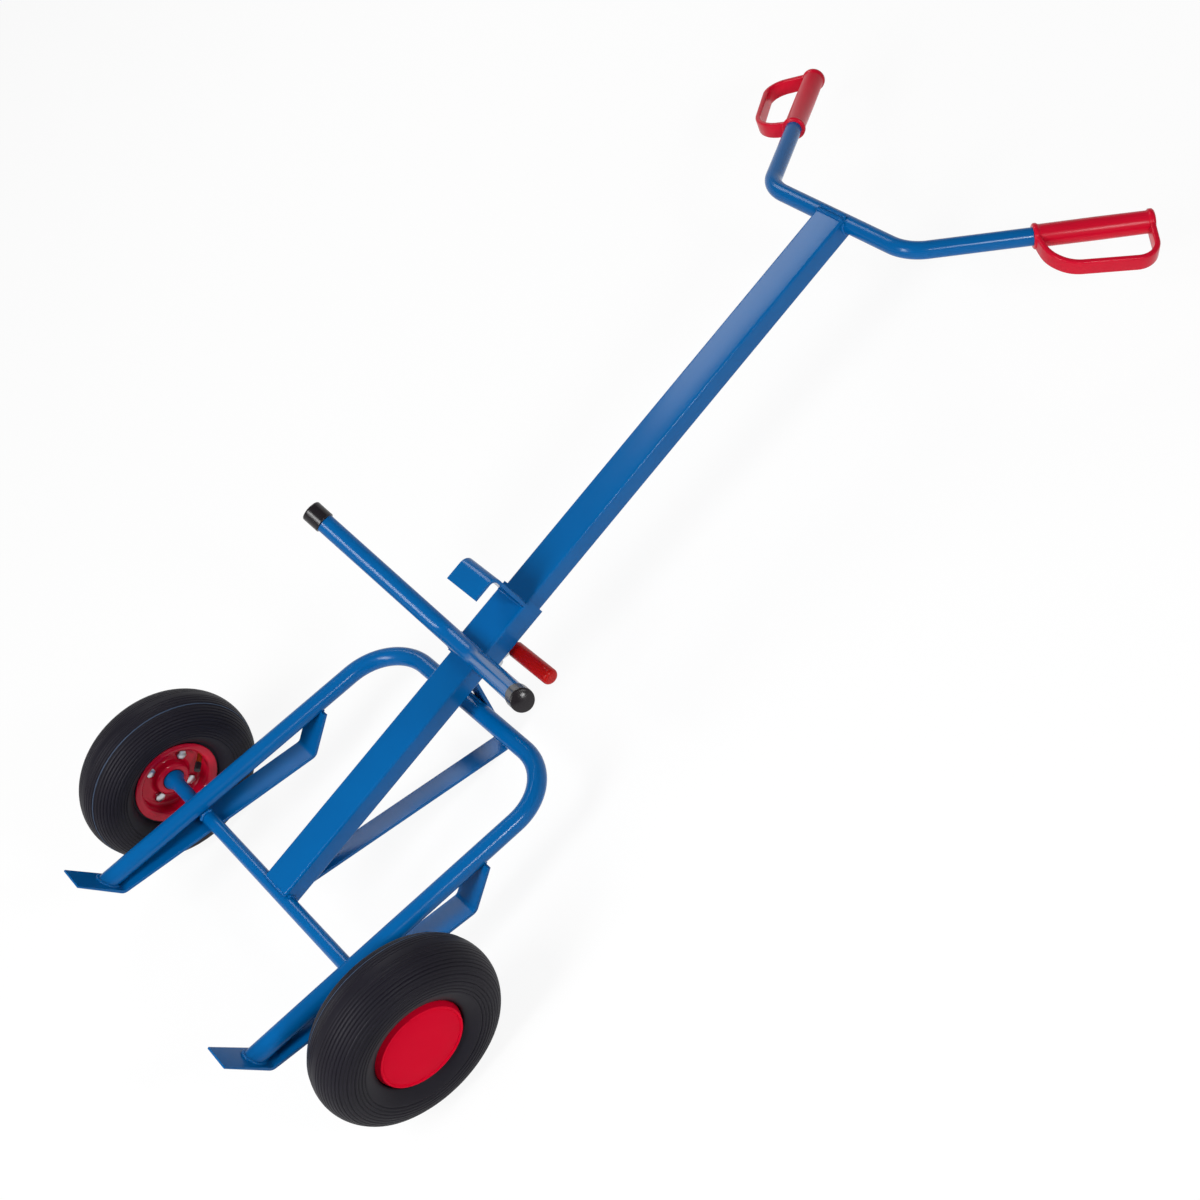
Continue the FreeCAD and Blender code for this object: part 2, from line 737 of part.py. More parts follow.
def cap_outline():
    """A slip-on cap drawn from the bar's end: its skirt grips the bar, and its end is domed."""
    inner = size.crossbar_diameter / 2
    outer = inner + size.cap_wall
    return [(-size.cap_grip, inner), (0, inner), (0, 0), (size.cap_dome, 0),
            (size.cap_dome - size.cap_dome_rise, outer, size.cap_dome_radius), (-size.cap_grip, outer)]


def build_lever():
    back = float(sleeve_depth / 2)
    pin = Vector(0, back + float(size.ear_reach), float(size.sleeve_height + size.pin_height))
    rod = pin + Vector(0, float(size.rod_back), float(size.rod_rise))
    half = Vector(float(size.pawl_width / 2), 0, 0)
    boss = cylinder(size.pawl_boss * 2, size.pawl_width, pin - half, X_AXIS)
    rod_boss = cylinder(size.rod_boss * 2, size.pawl_width, rod - half, X_AXIS)
    arm_line = rod - pin
    arm_turn = Rotation(X_AXIS, math.degrees(math.atan2(-arm_line.y, arm_line.z)))
    arm_length = (size.rod_back * size.rod_back + size.rod_rise * size.rod_rise).root()
    arm_corner = pin - half - arm_turn.multVec(Y_AXIS) * float(size.pawl_boss)
    arm = block(size.pawl_width, size.pawl_boss * 2, arm_length, arm_corner, arm_turn)
    mast_back = float(size.mast_depth / 2 + size.pawl_gap)
    nose_length = size.ear_reach + size.sleeve_wall + size.sleeve_play - size.pawl_gap
    nose_corner = Vector(-float(size.pawl_width / 2), mast_back, pin.z + float(size.pawl_nose_rise))
    nose = block(size.pawl_width, nose_length, size.pawl_nose - size.pawl_nose_rise, nose_corner)
    pin_hole = cylinder(size.pin_diameter + size.bearing_gap * 2, size.pawl_width, pin - half, X_AXIS)
    rod_hole = cylinder(size.rod_diameter, size.pawl_width, rod - half, X_AXIS)
    node("pawl", cut(fuse(boss, rod_boss, arm, nose), pin_hole, rod_hole))

    rod_start = rod - X_AXIS * float(size.rod_tail)
    node("lever_rod", cylinder(size.rod_diameter, size.rod_tail + size.rod_reach, rod_start, X_AXIS))
    outer, inner = size.lever_grip_diameter / 2, size.rod_diameter / 2
    end, dome = size.rod_reach + size.lever_grip_end, size.lever_grip_dome
    outline = [(size.lever_grip_start, inner), (size.rod_reach, inner), (size.rod_reach, 0), (end, 0),
               (end, outer - dome), (end - dome, outer, dome), (size.lever_grip_start, outer)]
    node("lever_grip", revolved(outline), Placement(rod, Rotation()))


def tread_height(axial):
    """The tread's radius at a distance from the wheel's middle plane."""
    centre = size.wheel_radius - size.tread_radius
    return centre + (size.tread_radius * size.tread_radius - axial * axial).root()


def tyre_outline():
    """The tyre's section, from the outer bead round the tread and back along the inside."""
    bead = size.rim_half - size.weld_gap * 2
    toe = bead - size.rim_bend
    seat = size.rim_seat + size.weld_gap
    root = size.rim_seat + size.bead_height
    shoulder = tread_height(size.tread_half)
    inner_crown = size.tread_radius - size.tread_thickness
    inner_shoulder = size.wheel_radius - size.tread_radius + (
        inner_crown * inner_crown - size.tread_inner_half * size.tread_inner_half).root()
    return [(size.bead_inner_half, seat), (toe, seat), (bead, seat + size.rim_bend), (bead, root),
            (size.tread_half, shoulder, size.wall_radius), (-size.tread_half, shoulder, size.tread_radius),
            (-bead, root, size.wall_radius), (-bead, seat + size.rim_bend), (-toe, seat),
            (-size.bead_inner_half, seat), (-size.bead_inner_half, root),
            (-size.tread_inner_half, inner_shoulder, -size.wall_inner_radius),
            (size.tread_inner_half, inner_shoulder, -inner_crown),
            (size.bead_inner_half, root, -size.wall_inner_radius)]


def tread_grooves():
    """Notches round the tread, as outlines that reach past its surface."""
    count = int(float(size.groove_count))
    notches = []
    for index in range(count):
        place = size.groove_pitch * (index - (count - 1) / 2)
        left, right = place - size.groove_width / 2, place + size.groove_width / 2
        floor = tread_height(place) - size.groove_depth
        top = size.wheel_radius + size.overrun
        notches.append([(left, floor), (right, floor), (right, top), (left, top)])
    return notches


def rim_outline():
    """One pressed rim half, from the wheel's middle plane to its flange, with pressed corners."""
    hub, seat, flange = size.hub_diameter / 2, size.rim_seat, size.rim_flange
    thick, edge = size.rim_sheet, size.rim_half
    inner, outer = size.rim_bend, size.rim_bend + size.rim_sheet
    return [(0, hub), (thick, hub), (thick, seat - outer), (outer, seat - thick, -inner),
            (edge - inner, seat - thick), (edge + thick, seat + inner, outer), (edge + thick, flange),
            (edge, flange), (edge, seat + inner), (edge - inner, seat, -inner), (outer, seat),
            (0, seat - outer, outer)]


def hubcap_outline():
    """A plain disc with a raised lip, a wall to the rim's flange, and a skirt that snaps into the seat."""
    face, lip = size.hubcap_face, size.hubcap_face + size.hubcap_lip
    thick = size.hubcap_sheet
    inside = face - thick
    rim_face = size.rim_half + size.rim_sheet + size.weld_gap
    edge = size.rim_flange - size.weld_gap
    dip = edge - size.hubcap_lip_width
    skirt = size.rim_seat - size.rim_sheet - size.weld_gap * 2
    skirt_end = inside - size.hubcap_skirt
    return [(inside, 0), (face, 0), (face, dip), (lip, dip + size.hubcap_lip), (lip, edge - thick),
            (lip - thick, edge, thick), (rim_face, edge), (rim_face, edge - thick), (inside, edge - thick),
            (inside, skirt), (skirt_end, skirt), (skirt_end, skirt - thick), (inside, skirt - thick)]


def wheel_turn(angle):
    """A turn about the axle, from the top towards the back."""
    return Rotation(X_AXIS, -float(angle))


def bolt_places():
    """The rim bolts' places on their circle, in the wheel's middle plane."""
    count = int(float(size.bolt_count))
    radius = Vector(0, 0, float(size.bolt_circle / 2))
    angles = [float(size.bolt_turn_angle) + 360 * index / count for index in range(count)]
    return [wheel_turn(angle).multVec(radius) for angle in angles]


def hexagon(across, height, base, along):
    """A hexagonal prism given by its width across flats."""
    prism = doc.addObject("Part::Prism", "Hexagon")
    prism.Polygon = 6
    bind(prism, Circumradius=across / math.sqrt(3), Height=height)
    prism.Placement = Placement(base, Rotation(Z_AXIS, along))
    return prism


def torus(middle, section):
    """A ring of round section about the axle."""
    obj = bind(doc.addObject("Part::Torus", "Torus"), Radius1=middle, Radius2=section)
    obj.Placement = Placement(Vector(), Rotation(Y_AXIS, 90))
    return obj


def build_wheel(name, side):
    """One wheel drawn about X, with its outer side towards +X, then turned to its own end of the axle."""
    seat = Placement(Vector(side * float(size.track / 2), 0, 0), Rotation(Z_AXIS, 0 if side > 0 else 180))
    node(f"{name}_tyre", revolved(tyre_outline(), tread_grooves()), seat)

    crown = size.wheel_radius - size.tread_thickness - size.slip_gap
    middle = crown - size.tube_section
    inner_tube = cut(torus(middle, size.tube_section), torus(middle, size.tube_section - size.tube_wall))
    node(f"{name}_inner_tube", inner_tube, seat)

    sheets = size.rim_sheet * 2
    through = sheets + size.overrun * 2
    low = X_AXIS * -float(through / 2)
    halves = []
    for turn in (0, 180):
        half = revolved(rim_outline())
        half.Placement = Placement(Vector(), Rotation(Z_AXIS, turn))
        holes = [cylinder(size.bolt_diameter + size.slip_gap, through, place + low, X_AXIS)
                 for place in bolt_places()]
        halves.append(cut(half, *holes))
    valve_turn, lean = wheel_turn(size.valve_turn_angle), size.valve_lean_angle
    valve_along = valve_turn.multVec(Vector(-sine(lean), 0, -cosine(lean)))
    valve_base = valve_turn.multVec(Vector(-float(size.valve_inset), 0, float(size.rim_seat)))
    valve_hole = cylinder(size.valve_diameter, size.valve_length, valve_base, valve_along)
    node(f"{name}_outer_rim", halves[0], seat)
    node(f"{name}_inner_rim", cut(halves[1], valve_hole), seat)

    bolts, nuts = [], []
    for place in bolt_places():
        face = place - X_AXIS * float(size.rim_sheet)
        head = hexagon(size.bolt_across, size.bolt_head, face - X_AXIS * float(size.bolt_head), X_AXIS)
        shank = cylinder(size.bolt_diameter, size.bolt_length, face, X_AXIS)
        bolts.append(fuse(head, shank))
        nut_face = place + X_AXIS * float(size.rim_sheet)
        nuts.append(cut(hexagon(size.bolt_across, size.nut_height, nut_face, X_AXIS),
                        cylinder(size.bolt_diameter, size.nut_height, nut_face, X_AXIS)))
    node(f"{name}_rim_bolts", group(*bolts), seat)
    node(f"{name}_rim_nuts", group(*nuts), seat)

    bore = size.hub_diameter - size.hub_wall * 2
    hub_start = X_AXIS * -float(size.hub_half)
    node(f"{name}_hub", ring(size.hub_diameter, bore, size.hub_half * 2, hub_start), seat)
    running_bore = size.axle_diameter + size.bearing_gap * 2
    outer_start = X_AXIS * float(size.hub_half - size.bearing_width)
    bearings = [ring(bore, running_bore, size.bearing_width, start) for start in (hub_start, outer_start)]
    node(f"{name}_bearings", group(*bearings), seat)

    node(f"{name}_hub_cap", revolved(hubcap_outline()), seat)
    stem = cylinder(size.valve_diameter, size.valve_length, valve_base, valve_along)
    node(f"{name}_valve_stem", stem, seat)
    tip = valve_base + valve_along * float(size.valve_length)
    cap_depth = size.valve_cap_length - size.valve_cap_wall
    cap_start = tip - valve_along * float(cap_depth)
    cap = cylinder(size.valve_cap_diameter, size.valve_cap_length, cap_start, valve_along)
    cap_bore = cylinder(size.valve_diameter, cap_depth, cap_start, valve_along)
    node(f"{name}_valve_cap", cut(cap, cap_bore), seat)


def lay_down():
    """Lays every finished piece down to the trolley's rest."""
    rest = rest_placement()
    for obj in nodes.values():
        obj.Placement = rest.multiply(obj.Placement)
    doc.recompute()


def check_document():
    """Stops the build if any object failed or any piece has no valid solid."""
    failed = [obj.Label for obj in doc.Objects if {"Invalid", "Error"} & set(obj.State)]
    if failed:
        raise RuntimeError(f"objects failed: {failed}")
    for label, obj in nodes.items():
        if obj.Shape.isNull() or not obj.Shape.isValid() or not obj.Shape.Solids:
            raise RuntimeError(f"{label} has no valid solid")


def write_parts():
    os.makedirs("parts", exist_ok=True)
    for label, obj in nodes.items():
        obj.Shape.exportStep(os.path.join("parts", f"{label}.step"))


build_mast()
build_handlebar()
build_grip("grip_left", 1)
build_grip("grip_right", -1)
build_hoop()
build_side_skid("skid_left", 1)
build_side_skid("skid_right", -1)
build_centre_skid()
build_axle()
build_slider()
build_lever()
build_wheel("left", 1)
build_wheel("right", -1)
doc.recompute()
lay_down()
check_document()
write_parts()
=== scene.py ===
"""Looks of the drum trolley: finishes, fine shapes, weld seams, camera and studio light."""

import json
import logging
import math
from dataclasses import dataclass, field
from enum import Enum
from typing import Sequence

import bmesh
import bpy
from mathutils import Matrix, Quaternion, Vector

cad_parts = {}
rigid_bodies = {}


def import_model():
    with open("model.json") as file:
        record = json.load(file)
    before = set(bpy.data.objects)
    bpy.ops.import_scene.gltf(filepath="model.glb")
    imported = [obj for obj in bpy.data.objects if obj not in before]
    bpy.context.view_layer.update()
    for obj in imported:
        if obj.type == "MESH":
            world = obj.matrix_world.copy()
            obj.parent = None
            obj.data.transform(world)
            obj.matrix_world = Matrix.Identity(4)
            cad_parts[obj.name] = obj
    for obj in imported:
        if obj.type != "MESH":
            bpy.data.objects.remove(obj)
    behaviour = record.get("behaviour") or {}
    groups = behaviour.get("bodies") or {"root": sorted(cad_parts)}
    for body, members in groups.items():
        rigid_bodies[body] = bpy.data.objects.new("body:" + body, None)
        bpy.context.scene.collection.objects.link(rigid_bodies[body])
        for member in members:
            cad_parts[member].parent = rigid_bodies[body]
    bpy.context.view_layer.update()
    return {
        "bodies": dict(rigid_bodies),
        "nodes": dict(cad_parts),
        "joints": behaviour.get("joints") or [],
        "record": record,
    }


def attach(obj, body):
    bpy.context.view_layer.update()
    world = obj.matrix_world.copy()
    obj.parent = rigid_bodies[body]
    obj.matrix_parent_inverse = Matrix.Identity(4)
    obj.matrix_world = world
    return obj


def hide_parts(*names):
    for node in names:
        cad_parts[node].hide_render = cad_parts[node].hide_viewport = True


LOG = logging.getLogger("drum_trolley")
MM = 0.001
WHITE = "#FFFFFF"
# Directions in the mast's frame.
LEFTWARD, BACKWARD, UPWARD = Vector((1, 0, 0)), Vector((0, 1, 0)), Vector((0, 0, 1))
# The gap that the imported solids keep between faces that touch, in millimetres.
TOUCH = 0.1
# The radius of the fine hole that a revolved solid keeps along its axis, in millimetres.
PIN_HOLE = 0.3
# Edges that turn by more than this stay sharp, where a piece doesn't say otherwise.
SHARP_DEGREES = 34.0
Pair = tuple[float, float]
Triple = tuple[float, float, float]


class Side(Enum):
    """The two ends of the axle, by the sign of X."""

    LEFT = 1
    RIGHT = -1

    @property
    def word(self) -> str:
        """The side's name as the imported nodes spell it."""
        return self.name.lower()

    @property
    def turn(self) -> Quaternion:
        """The turn that brings a shape's +X to this side."""
        return Quaternion(UPWARD, 0 if self is Side.LEFT else math.pi)


class Body(Enum):
    """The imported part's rigid bodies."""

    FRAME = "frame"
    LEFT_WHEEL = "left_wheel"
    RIGHT_WHEEL = "right_wheel"
    SLIDER = "slider"
    LEVER = "lever"


def linear_colour(text: str) -> tuple[float, float, float, float]:
    """Turns an sRGB hex colour into the linear values that shaders work in.

    Args:
        text: The colour as "#RRGGBB".

    Returns:
        Red, green, blue and alpha, all linear.
    """
    parts = [int(text[index:index + 2], 16) / 255 for index in (1, 3, 5)]
    linear = [part / 12.92 if part <= 0.04045 else ((part + 0.055) / 1.055) ** 2.4 for part in parts]
    return (linear[0], linear[1], linear[2], 1.0)


def clear_nodes(owner: bpy.types.Material | bpy.types.World) -> None:
    """Turns on the nodes of a material or world, and clears them."""
    owner.use_nodes = True
    owner.node_tree.nodes.clear()


def add_node(tree: bpy.types.NodeTree, kind: str, settings: dict | None = None, links: dict | None = None,
             **properties: object) -> bpy.types.Node:
    """Adds one shader node with its settings and the links that feed it.

    Args:
        tree: The tree to add to.
        kind: The node's type name.
        settings: Values for input sockets.
        links: Output sockets that feed input sockets.
        properties: Attributes of the node itself.

    Returns:
        The new node.
    """
    node = tree.nodes.new(kind)
    for name, value in properties.items():
        setattr(node, name, value)
    for name, value in (settings or {}).items():
        node.inputs[name].default_value = value
    for name, socket in (links or {}).items():
        tree.links.new(socket, node.inputs[name])
    return node


def place_object(name: str, data: bpy.types.ID) -> bpy.types.Object:
    """Makes an object, and links it to the scene.

    Args:
        name: The object's name.
        data: Its mesh, light or camera.

    Returns:
        The object.
    """
    made = bpy.data.objects.new(name, data)
    bpy.context.scene.collection.objects.link(made)
    return made


@dataclass(frozen=True)
class Finish:
    """A real material and process, with what it gives the eye. Colours are sRGB hex."""

    name: str
    slot: str  # The record's material slot.
    colour: str
    shade: str  # A second tone that drifts slowly over the surface.
    drift_mm: float  # The size of that tone's patches.
    roughness: float
    metallic: float = 0.0
    gloss: float = 0.25  # How strongly a surface that isn't metal mirrors the light.
    grain_mm: Pair = (2.0, 0.02)  # The size and the height of the surface's grain.

    def material(self) -> bpy.types.Material:
        """Makes the material on first use, and gives the same one after that.

        Returns:
            The material.
        """
        known = bpy.data.materials.get(self.name)
        if known is not None:
            return known
        material = bpy.data.materials.new(self.name)
        clear_nodes(material)
        tree = material.node_tree
        grain_size, grain_height = self.grain_mm
        place = add_node(tree, "ShaderNodeTexCoord").outputs["Object"]
        patches, grain = (
            add_node(tree, "ShaderNodeTexNoise", {"Scale": 1 / (size * MM), "Detail": detail},
                     {"Vector": place})
            for size, detail in ((self.drift_mm, 3.0), (grain_size, 2.0)))
        tone = add_node(tree, "ShaderNodeMix",
                        {"A": linear_colour(self.colour), "B": linear_colour(self.shade)},
                        {"Factor": patches.outputs["Fac"]}, data_type="RGBA")
        relief = add_node(tree, "ShaderNodeBump", {"Strength": 1.0, "Distance": grain_height * MM},
                          {"Height": grain.outputs["Fac"]})
        shader = add_node(
            tree, "ShaderNodeBsdfPrincipled",
            {"Roughness": self.roughness, "Metallic": self.metallic, "Specular IOR Level": self.gloss},
            {"Base Color": tone.outputs["Result"], "Normal": relief.outputs["Normal"]})
        add_node(tree, "ShaderNodeOutputMaterial", None, {"Surface": shader.outputs["BSDF"]})
        return material


# Gloss powder coat on steel tube: a deep blue with clean, bright highlight lines and a faint orange peel.
BLUE_COAT = Finish("blue_powder_coat_on_steel", "blue_powder_coat", "#005D9D", "#005695", drift_mm=60,
                   roughness=0.2, gloss=0.18, grain_mm=(3.0, 0.004))
# The same coat on hot-rolled flat bar: the scale under it breaks the highlights into a mottled sheen.
BLUE_BAR = Finish("blue_powder_coat_on_rolled_bar", "blue_powder_coat", "#005A99", "#00518C", drift_mm=25,
                  roughness=0.26, gloss=0.17, grain_mm=(3.5, 0.05))
# Powder coat on pressed sheet: a deep red with sharp small highlights in its pressed corners.
RED_COAT = Finish("red_powder_coat_on_pressed_sheet", "red_powder_coat", "#C00B2E", "#B20828", drift_mm=40,
                  roughness=0.16, gloss=0.2, grain_mm=(2.4, 0.006))
# Moulded polypropylene grips: a bright red with a broad satin sheen and a fine moulded grain.
RED_MOULDING = Finish("moulded_red_polypropylene", "red_moulding", "#CC0A2C", "#C00828", drift_mm=30,
                      roughness=0.28, gloss=0.17, grain_mm=(0.9, 0.008))
# Dipped vinyl on the lever: a warmer red with a narrow highlight.
LEVER_VINYL = Finish("dipped_red_vinyl", "red_moulding", "#B81310", "#AB0F0C", drift_mm=25,
                     roughness=0.26, gloss=0.18, grain_mm=(1.6, 0.012))
# Moulded hub cap: an even, flat red with hardly any reflection.
RED_CAP = Finish("moulded_red_cap", "red_cap", "#D4062A", "#D0062A", drift_mm=50,
                 roughness=0.5, gloss=0.02, grain_mm=(1.0, 0.008))
# Injection-moulded black cap: near black with a sharp white highlight.
BLACK_CAP = Finish("glossy_black_polyethylene", "black_cap", "#1C181C", "#161216", drift_mm=20,
                   roughness=0.26, gloss=0.35, grain_mm=(1.5, 0.003))
# Painted hub and bearing seals: a matt black, partly the hub's paint and partly painted shade that swallows
# the light inside the rim.
BLACK_HUB_AND_PAINTED_SHADE = Finish("black_hub_and_painted_shade", "black_hub", "#101014", "#0C0C0F", drift_mm=20,
                   roughness=0.5, gloss=0.15)
# Zinc plate on fasteners: bright, cool grey metal with a soft sparkle.
ZINC = Finish("zinc_plated_steel", "zinc_steel", "#CFD1D4", "#B4B7BB", drift_mm=6,
              roughness=0.32, metallic=1.0, grain_mm=(0.6, 0.01))
# Vulcanised tyre rubber: charcoal with a broad, dull sheen and a slightly bloomed surface.
TYRE_RUBBER = Finish("vulcanised_tyre_rubber", "tyre", "#1B1922", "#14121A", drift_mm=35,
                     roughness=0.5, gloss=0.14, grain_mm=(0.8, 0.02))
# Raised mould line: a paler, bluish grey that paints a highlight along the ridge, drawing a thin ring round
# the tread.
MOULD_LINE_PAINTED_HIGHLIGHT = Finish("mould_line_painted_highlight", "tyre", "#3F5068", "#2E3A4C", drift_mm=25,
                    roughness=0.6, gloss=0.2, grain_mm=(0.8, 0.02))
# Butyl inner tube: smooth black rubber, hidden in the tyre.
TUBE_RUBBER = Finish("butyl_rubber", "tube_rubber", "#1C1C1E", "#18181A", drift_mm=30, roughness=0.5)
# Turned brass valve: yellow metal, a little tarnished.
BRASS = Finish("turned_brass", "brass", "#C99C48", "#A67C34", drift_mm=5,
               roughness=0.36, metallic=1.0, grain_mm=(0.5, 0.01))
# The finish of each slot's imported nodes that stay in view.
FINISHES = (BLUE_COAT, RED_COAT, RED_MOULDING, RED_CAP, BLACK_CAP, BLACK_HUB_AND_PAINTED_SHADE, ZINC, TYRE_RUBBER, TUBE_RUBBER,
            BRASS)


class MastFrame:
    """The mast's own frame in mm from the axle's middle: X along the axle, Y to the back, Z up the mast."""

    def __init__(self, frame: dict) -> None:
        """Reads the laid-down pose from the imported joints.
        """
        joints = {joint["name"]: joint for joint in frame["joints"]}
        up = Vector(joints["hook_slide"]["axis"]).normalized()
        self.turn = Matrix((LEFTWARD, up.cross(LEFTWARD), up)).transposed()
        self.origin = Vector(joints["left_wheel_spin"]["pos_m"])

    def point(self, x: float, y: float, z: float) -> Vector:
        """A place of the trolley in the part's frame, in metres."""
        return self.origin + self.turn @ Vector((x, y, z)) * MM

    def direction(self, x: float, y: float, z: float) -> Vector:
        """A direction of the trolley in the part's frame, of unit length."""
        return (self.turn @ Vector((x, y, z))).normalized()


@dataclass
class Shape:
    """Corners and faces of a mesh, in the mast's frame and in millimetres."""

    corners: list[Vector] = field(default_factory=list)
    faces: list[tuple[int, ...]] = field(default_factory=list)

    def join(self, other: "Shape") -> "Shape":
        """Adds another shape to this one.

        Args:
            other: The shape to add.

        Returns:
            This shape.
        """
        start = len(self.corners)
        self.corners.extend(other.corners)
        self.faces.extend(tuple(start + index for index in face) for face in other.faces)
        return self

    def moved(self, turn: Quaternion, offset: Vector) -> "Shape":
        """A copy of the shape, turned about the origin and then shifted."""
        return Shape([turn @ corner + offset for corner in self.corners], list(self.faces))


def loft(rings: Sequence[Sequence[Vector]], closed: bool = False, capped: bool = True) -> Shape:
    """Joins rings of equal length with quads.

    Args:
        rings: The rings in order.
        closed: Whether the last ring joins the first.
        capped: Whether both ends are closed with a face.

    Returns:
        The shape.
    """
    count = len(rings[0])
    shape = Shape([corner for ring in rings for corner in ring])
    spans = len(rings) if closed else len(rings) - 1
    for row in range(spans):
        low, high = row * count, (row + 1) % len(rings) * count
        for index in range(count):
            following = (index + 1) % count
            shape.faces.append((low + index, low + following, high + following, high + index))
    if capped and not closed:
        shape.faces.append(tuple(reversed(range(count))))
        shape.faces.append(tuple(range((len(rings) - 1) * count, len(rings) * count)))
    return shape


def cosine_and_sine(degrees: float) -> Pair:
    """The cosine and the sine of an angle in degrees."""
    return math.cos(math.radians(degrees)), math.sin(math.radians(degrees))


def round_section(radius: float, count: int = 40) -> list[Pair]:
    """A circle of a number of corners as a section."""
    angles = [2 * math.pi * index / count for index in range(count)]
    return [(radius * math.cos(angle), radius * math.sin(angle)) for angle in angles]


def box_section(width: float, depth: float, radius: float, steps: int = 5) -> list[Pair]:
    """A rectangle with rounded corners as a section.

    Args:
        width: Its size along the first direction.
        depth: Its size along the second direction.
        radius: The corners' radius.
        steps: How many spans each corner gets.

    Returns:
        The section's corners.
    """
    result = []
    corners = [Vector((u * width / 2, v * depth / 2)) for u, v in ((-1, -1), (1, -1), (1, 1), (-1, 1))]
    for index, here in enumerate(corners):
        before = (corners[index - 1] - here).normalized()
        after = (corners[(index + 1) % len(corners)] - here).normalized()
        half = before.angle(after) / 2
        reach = radius / math.tan(half)
        start, end = here + before * reach, here + after * reach
        for step in range(steps + 1):
            share = step / steps
            flat = start.lerp(here, share).lerp(here.lerp(end, share), share)
            result.append((flat.x, flat.y))
    return result


def bent_path(points: Sequence[Vector], radii: float | Sequence[float], steps: int) -> list[Vector]:
    """Rounds the inner corners of a path with arcs.

    Args:
        points: The path's corners.
        radii: The radius of every bend, or one for all.
        steps: How many spans each bend gets.

    Returns:
        The points of the bent path.
    """
    result = [points[0].copy()]
    bends = [radii] * (len(points) - 2) if isinstance(radii, (int, float)) else radii
    for before, corner, after, radius in zip(points, points[1:], points[2:], bends):
        inward, onward = (before - corner).normalized(), (after - corner).normalized()
        half = inward.angle(onward) / 2
        middle = (inward + onward).normalized()
        centre = corner + middle * (radius / math.sin(half))
        start = corner + inward * (radius / math.tan(half)) - centre
        turn = start.rotation_difference(corner + onward * (radius / math.tan(half)) - centre)
        for step in range(steps + 1):
            result.append(centre + Quaternion().slerp(turn, step / steps) @ start)
    result.append(points[-1].copy())
    return result


def short_of(start: Vector, end: Vector, gap: float) -> Vector:
    """The point on the way from start to end that lies a gap before the end."""
    return start + (end - start) * (1 - gap / (end - start).length)


def neighbours(line: Sequence[Vector], index: int) -> tuple[Vector, Vector]:
    """The points before and after one of a line's points, or the point itself at the line's ends."""
    return line[max(index - 1, 0)], line[min(index + 1, len(line) - 1)]


def sweep(section: Sequence[Pair], line: Sequence[Vector], across: Vector) -> Shape:
    """Carries a section along a line without twisting it.

    Args:
        section: The section's corners.
        line: The line's points.
        across: The direction of the section's first axis at the start.

    Returns:
        The shape.
    """
    rings = []
    first = across.normalized()
    last_tangent = (line[1] - line[0]).normalized()
    for index, place in enumerate(line):
        before, after = neighbours(line, index)
        tangent = (after - before).normalized()
        first = last_tangent.rotation_difference(tangent) @ first
        first = (first - tangent * first.dot(tangent)).normalized()
        second = tangent.cross(first)
        last_tangent = tangent
        rings.append([place + first * u + second * v for u, v in section])
    return loft(rings)


def revolve(profile: Sequence[Pair], segments: int) -> Shape:
    """Turns a closed profile of (axial, radius) pairs about the X axis, in a number of spans."""
    return loft([[Vector((axial, radius * sine, radius * cosine)) for axial, radius in profile]
                 for cosine, sine in round_section(1, segments)], closed=True)


def arc_points(centre: Pair, radius: float, start: float, end: float, steps: int) -> list[Pair]:
    """Points of an arc between two angles in degrees, with both ends."""
    angles = [math.radians(start + (end - start) * step / steps) for step in range(steps + 1)]
    return [(centre[0] + radius * math.cos(angle), centre[1] + radius * math.sin(angle)) for angle in angles]


def arc_at(x: float, centre: Pair, radius: float, start: float, end: float, steps: int) -> list[Vector]:
    """Points of an arc that lies across the axle at a place along it."""
    return [Vector((x, y, z)) for y, z in arc_points(centre, radius, start, end, steps)]


# A seam's ripples and slow swell as shares of its radius.
RIPPLE, SWELL = 0.22, 0.05
# The ripples' pitch in millimetres, and the swell's turn for each millimetre.
RIPPLE_PITCH, SWELL_RATE = 2.4, 0.7
# A seam starts and ends at this share of its radius, and reaches the whole in about this many rings.
SEAM_END, SEAM_END_RINGS = 0.35, 6
# No seam runs this way, so every seam's rings can be set out from it.
SEAM_ASIDE = Vector((0.31, 0.52, 0.79))


def weld_seam(line: Sequence[Vector], radius: float) -> Shape:
    """A weld seam with the ripples that the torch leaves.

    Args:
        line: The seam's middle line.
        radius: The seam's radius.

    Returns:
        The shape.
    """
    places = [line[0].copy()]
    for start, end in zip(line, line[1:]):
        steps = max(1, round((end - start).length / (RIPPLE_PITCH / 4)))
        places.extend(start.lerp(end, step / steps) for step in range(1, steps + 1))
    rings = []
    run = 0.0
    for index, place in enumerate(places):
        before, after = neighbours(places, index)
        run += (place - before).length
        tangent = (after - before).normalized()
        side = tangent.cross(SEAM_ASIDE).normalized()
        other = tangent.cross(side)
        wave = 1 - abs(math.cos(math.pi * run / RIPPLE_PITCH))
        ripple = 1 - RIPPLE * wave + SWELL * math.sin(run * SWELL_RATE)
        nearest = min(index, len(places) - 1 - index)
        size = radius * ripple * min(1.0, SEAM_END + nearest / SEAM_END_RINGS)
        rings.append([place + side * u + other * v for u, v in round_section(size, 12)])
    return loft(rings)


def cross_seam(middle: Vector, half: float, radius: float) -> Shape:
    """A straight weld seam along the axle's direction, by its middle and half its length."""
    return weld_seam([middle - LEFTWARD * half, middle + LEFTWARD * half], radius)


